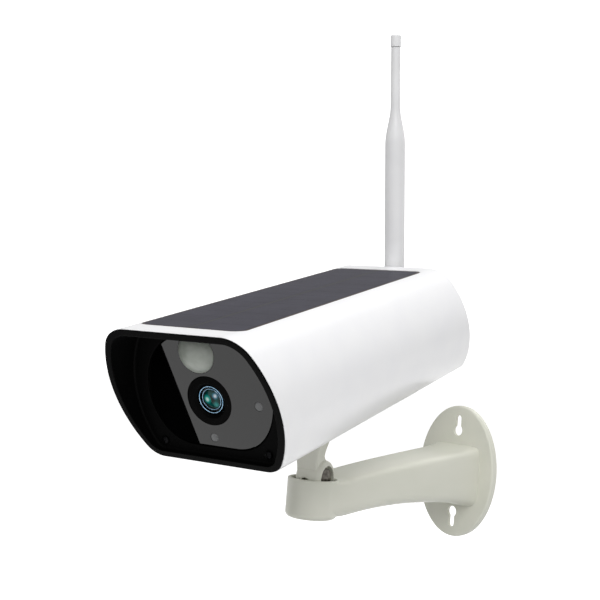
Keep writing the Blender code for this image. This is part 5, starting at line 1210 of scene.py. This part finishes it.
def makeKnuckle():
    front, edge = knuckle["front"], knuckle["postEdge"]
    loops = []
    foot, head, levels = postSections[0][0], postSections[-1][0], 40
    for i in range(levels + 1):
        height = foot + (head - foot) * i / levels
        halfWidth, back = (value * mm for value in postAt(height))
        outline = roundedBox(2 * halfWidth, back - front, edge, 6)
        loops.append([(x, y + (back + front) / 2, height * mm) for x, y in outline])
    mesh = skinOf(loops)
    radius, soft = knuckle["barrel"], knuckle["edge"]
    corner = [(radius - soft * (1 - sin(a)), soft * (1 - cos(a))) for a in quarterTurn(8)]
    profile = [(0, knuckle["boltSide"])] + [(r, knuckle["boltSide"] - x) for r, x in corner]
    profile += [(r, x - knuckle["nutSide"]) for r, x in reversed(corner)]
    profile += [(0, -knuckle["nutSide"])]
    mesh = weld(mesh, latheOf(profile, 128), turnSide)
    slot = knuckle["slot"]
    mesh = cut(mesh, discOf(knuckle["tongue"], -slot, slot, 0, 96), turnSide)
    span = radius + 5 * mm
    fan = [(0, 0)] + [(-span * sin(radians(a)), -span * cos(radians(a)))
                      for a in knuckle["mouth"]]
    wedge = prismOf(lambda inset: fan, -slot, slot)
    wedge.transform(Matrix(((0, 0, 1, 0), (1, 0, 0, 0), (0, 1, 0, 0), (0, 0, 0, 1))))
    mesh = cut(mesh, wedge)
    past = knuckle["boltSide"] + 3 * mm
    for r, start, end in ((knuckle["boltHole"], -past, past),
                          (knuckle["recess"], knuckle["boltSide"] - knuckle["recessDeep"], past),
                          (knuckle["nutRecess"], -past, knuckle["nutDeep"] - knuckle["nutSide"])):
        mesh = cut(mesh, discOf(r, start, end, 0, 96), turnSide)
    mesh = cut(mesh, discOf(knuckle["relief"], 0.6 * radius, radius + 3 * mm, 0, 48), turnForward)
    stud = middleOf("mount_stud", tiltFrame)
    mesh = cut(mesh, discOf(knuckle["studHole"], knuckle["studFoot"], 40 * mm, 0, 48),
               shift(0, stud.y, 0))
    newPiece("tiltKnuckle", mesh, tiltFrame, finishes["bracket_plastic"], "knuckle",
             ("tilt_knuckle",), 34)


bolt = {"radius": 6.0 * mm, "rise": 3.0 * mm, "edge": 0.8 * mm, "crown": 2.2 * mm,
        "shank": 2.4 * mm, "foot": 0.1 * mm, "end": 0.2 * mm}


def makeBolt():
    # domed bolt head, brushed across, with a turned foot
    low, high = boxIn("tilt_bolt", tiltFrame)
    top, r, end = high.x, bolt["radius"], low.x
    base, shank = top - bolt["rise"], bolt["shank"]
    foot, chamfer = bolt["foot"], bolt["end"]
    profile = [(0, top)] + [(r * sin(a), base + bolt["edge"] + bolt["crown"] * cos(a))
                            for a in quarterTurn(20)[1:]]
    profile += [(r, base + foot), (r - foot, base), (shank, base), (shank, end + chamfer),
                (shank - chamfer, end), (0, end)]
    newPiece("tiltBolt", latheOf(profile, 96), tiltFrame @ turnSide, boltSteel, "knuckle",
             ("tilt_bolt",), 35, True)


def makeNut():
    low, high = boxIn("tilt_nut", tiltFrame)
    mesh = hexNut(4.6 * mm, 4.45 * mm, 0.4 * mm, 2.6 * mm, low.x, high.x)
    newPiece("tiltNut", mesh, tiltFrame @ turnSide, finishes["steel"], "knuckle",
             ("tilt_nut",))


makeKnuckle()
makeBolt()
makeNut()
print("knuckle made")

# stage: pale floor, soft light, camera
studio = {"floorZ": -0.28, "floorHalf": 6.0, "floorGlow": 0.55, "worldLight": 0.6,
          "worldBelow": 0.48, "keyPower": 12.0, "topPower": 3.0, "backPower": 13.0,
          "fillPower": 0.3}
view = {"place": Vector((0.4260, -0.5789, 0.0804)), "right": Vector((0.6985, 0.7109, 0.0814)),
        "up": Vector((-0.0317, -0.0828, 0.9961)), "lens": 63.0, "sensor": 36.0, "near": 0.01,
        "far": 50.0}
# how far off the black card stands, its width and spare length, and where its edge crosses the glass
card = {"far": 0.3, "wide": 0.8, "spare": 0.5,
        "edge": ((-25.2 * mm, 27.6 * mm), (-9.4 * mm, -27.3 * mm))}


def makeFloor():
    bm = bmesh.new()
    bmesh.ops.create_grid(bm, x_segments=1, y_segments=1, size=studio["floorHalf"])
    mesh = bpy.data.meshes.new("floor")
    bm.to_mesh(mesh)
    bm.free()
    # opal acrylic, sanded and lit from below: it glows evenly, so shadows on it stay faint
    opal, tree, shader = newMaterial("opalLightTable", "#f7f7f7", {
        "Roughness": 0.9, "Specular IOR Level": 0.1, "Emission Color": (1, 1, 1, 1),
        "Emission Strength": studio["floorGlow"]})
    tones(tree, shader, grain(tree, 0.4), "#f5f5f5", "#f9f9f9")
    mesh.materials.append(opal)
    floor = bpy.data.objects.new("floor", mesh)
    bpy.context.scene.collection.objects.link(floor)
    floor.location = (0, 0, studio["floorZ"])
    floor.visible_diffuse = False  # the world's own lower half lights the undersides


def makeLight(name, place, target, size, power, mirrored=True):
    # a light that isn't mirrored gives no glare on gloss
    lamp = bpy.data.lights.new(name, "AREA")
    lamp.size = size
    lamp.energy = power
    made = bpy.data.objects.new(name, lamp)
    bpy.context.scene.collection.objects.link(made)
    made.location = place
    made.rotation_euler = (Vector(target) - Vector(place)).to_track_quat("-Z", "Y").to_euler()
    made.visible_glossy = mirrored


def makeWorld():
    # even light all round, and a white backdrop where the camera looks past the object
    world = bpy.data.worlds.new("studio")
    bpy.context.scene.world = world
    world.use_nodes = True
    tree = world.node_tree
    tree.nodes.clear()
    where = addNode(tree, "ShaderNodeSeparateXYZ", None,
                    {0: addNode(tree, "ShaderNodeTexCoord").outputs["Generated"]})
    height = addNode(tree, "ShaderNodeMapRange", {"From Min": -0.5, "From Max": 0.5,
                                                  "To Min": studio["worldBelow"],
                                                  "To Max": studio["worldLight"]},
                     {"Value": where.outputs["Z"]})
    path = addNode(tree, "ShaderNodeLightPath")
    level = addNode(tree, "ShaderNodeMath", {"operation": "ADD"},
                    {0: height.outputs[0], 1: path.outputs["Is Camera Ray"]})
    glow = addNode(tree, "ShaderNodeBackground", {"Color": (1, 1, 1, 1)},
                   {"Strength": level.outputs[0]})
    addNode(tree, "ShaderNodeOutputWorld", None, {"Surface": glow.outputs[0]})


def makeFlag():
    # black card that darkens the left part of the glass; it is seen only as a reflection
    normal = (faceFrame.to_3x3() @ Vector((0, 0, 1))).normalized()
    ends = []
    for x, y in card["edge"]:
        point = faceFrame @ Vector((x, y, 0))
        ray = (point - view["place"]).normalized()
        ends.append(point + (ray - 2 * ray.dot(normal) * normal) * card["far"])
    along = (ends[0] - ends[1]).normalized()
    top, bottom = ends[0] + along * card["spare"], ends[1] - along * card["spare"]
    left = -(headFrame.to_3x3() @ Vector((1, 0, 0))) * card["wide"]
    bm = bmesh.new()
    bm.faces.new([bm.verts.new(p) for p in (top, bottom, bottom + left, top + left)])
    mesh = bpy.data.meshes.new("flag")
    bm.to_mesh(mesh)
    bm.free()
    # cotton velvet, its pile upright: it swallows all light
    velvet = newMaterial("blackVelvet", "#010101", {"Roughness": 1.0, "Specular IOR Level": 0.0})[0]
    mesh.materials.append(velvet)
    flag = bpy.data.objects.new("flag", mesh)
    bpy.context.scene.collection.objects.link(flag)
    flag.visible_camera = False
    flag.visible_diffuse = False
    flag.visible_shadow = False
    flag.visible_transmission = False


def makeCamera():
    data = bpy.data.cameras.new("view")
    data.lens = view["lens"]
    data.sensor_width = view["sensor"]
    data.clip_start = view["near"]
    data.clip_end = view["far"]
    camera = bpy.data.objects.new("view", data)
    bpy.context.scene.collection.objects.link(camera)
    right, up = view["right"].normalized(), view["up"].normalized()
    up = (up - right * up.dot(right)).normalized()
    place = Matrix((right, up, right.cross(up))).transposed().to_4x4()
    place.translation = view["place"]
    camera.matrix_world = place
    bpy.context.scene.camera = camera


makeFloor()
makeWorld()
makeLight("topSoftbox", (0.5, -0.1, 1.35), (0, -0.15, 0.05), 1.0, studio["topPower"])
makeLight("keySoftbox", (0.95, -1.15, 0.95), (0, -0.1, 0.05), 0.9, studio["keyPower"])
makeLight("backSoftbox", (-0.1, 1.2, 0.75), (0, -0.05, 0), 0.9, studio["backPower"], False)
makeLight("fillSoftbox", (-1.4, -0.9, 0.4), (0, -0.15, 0.05), 1.2, studio["fillPower"])
makeFlag()
makeCamera()
bpy.context.scene.view_settings.view_transform = "Standard"
print("stage made")
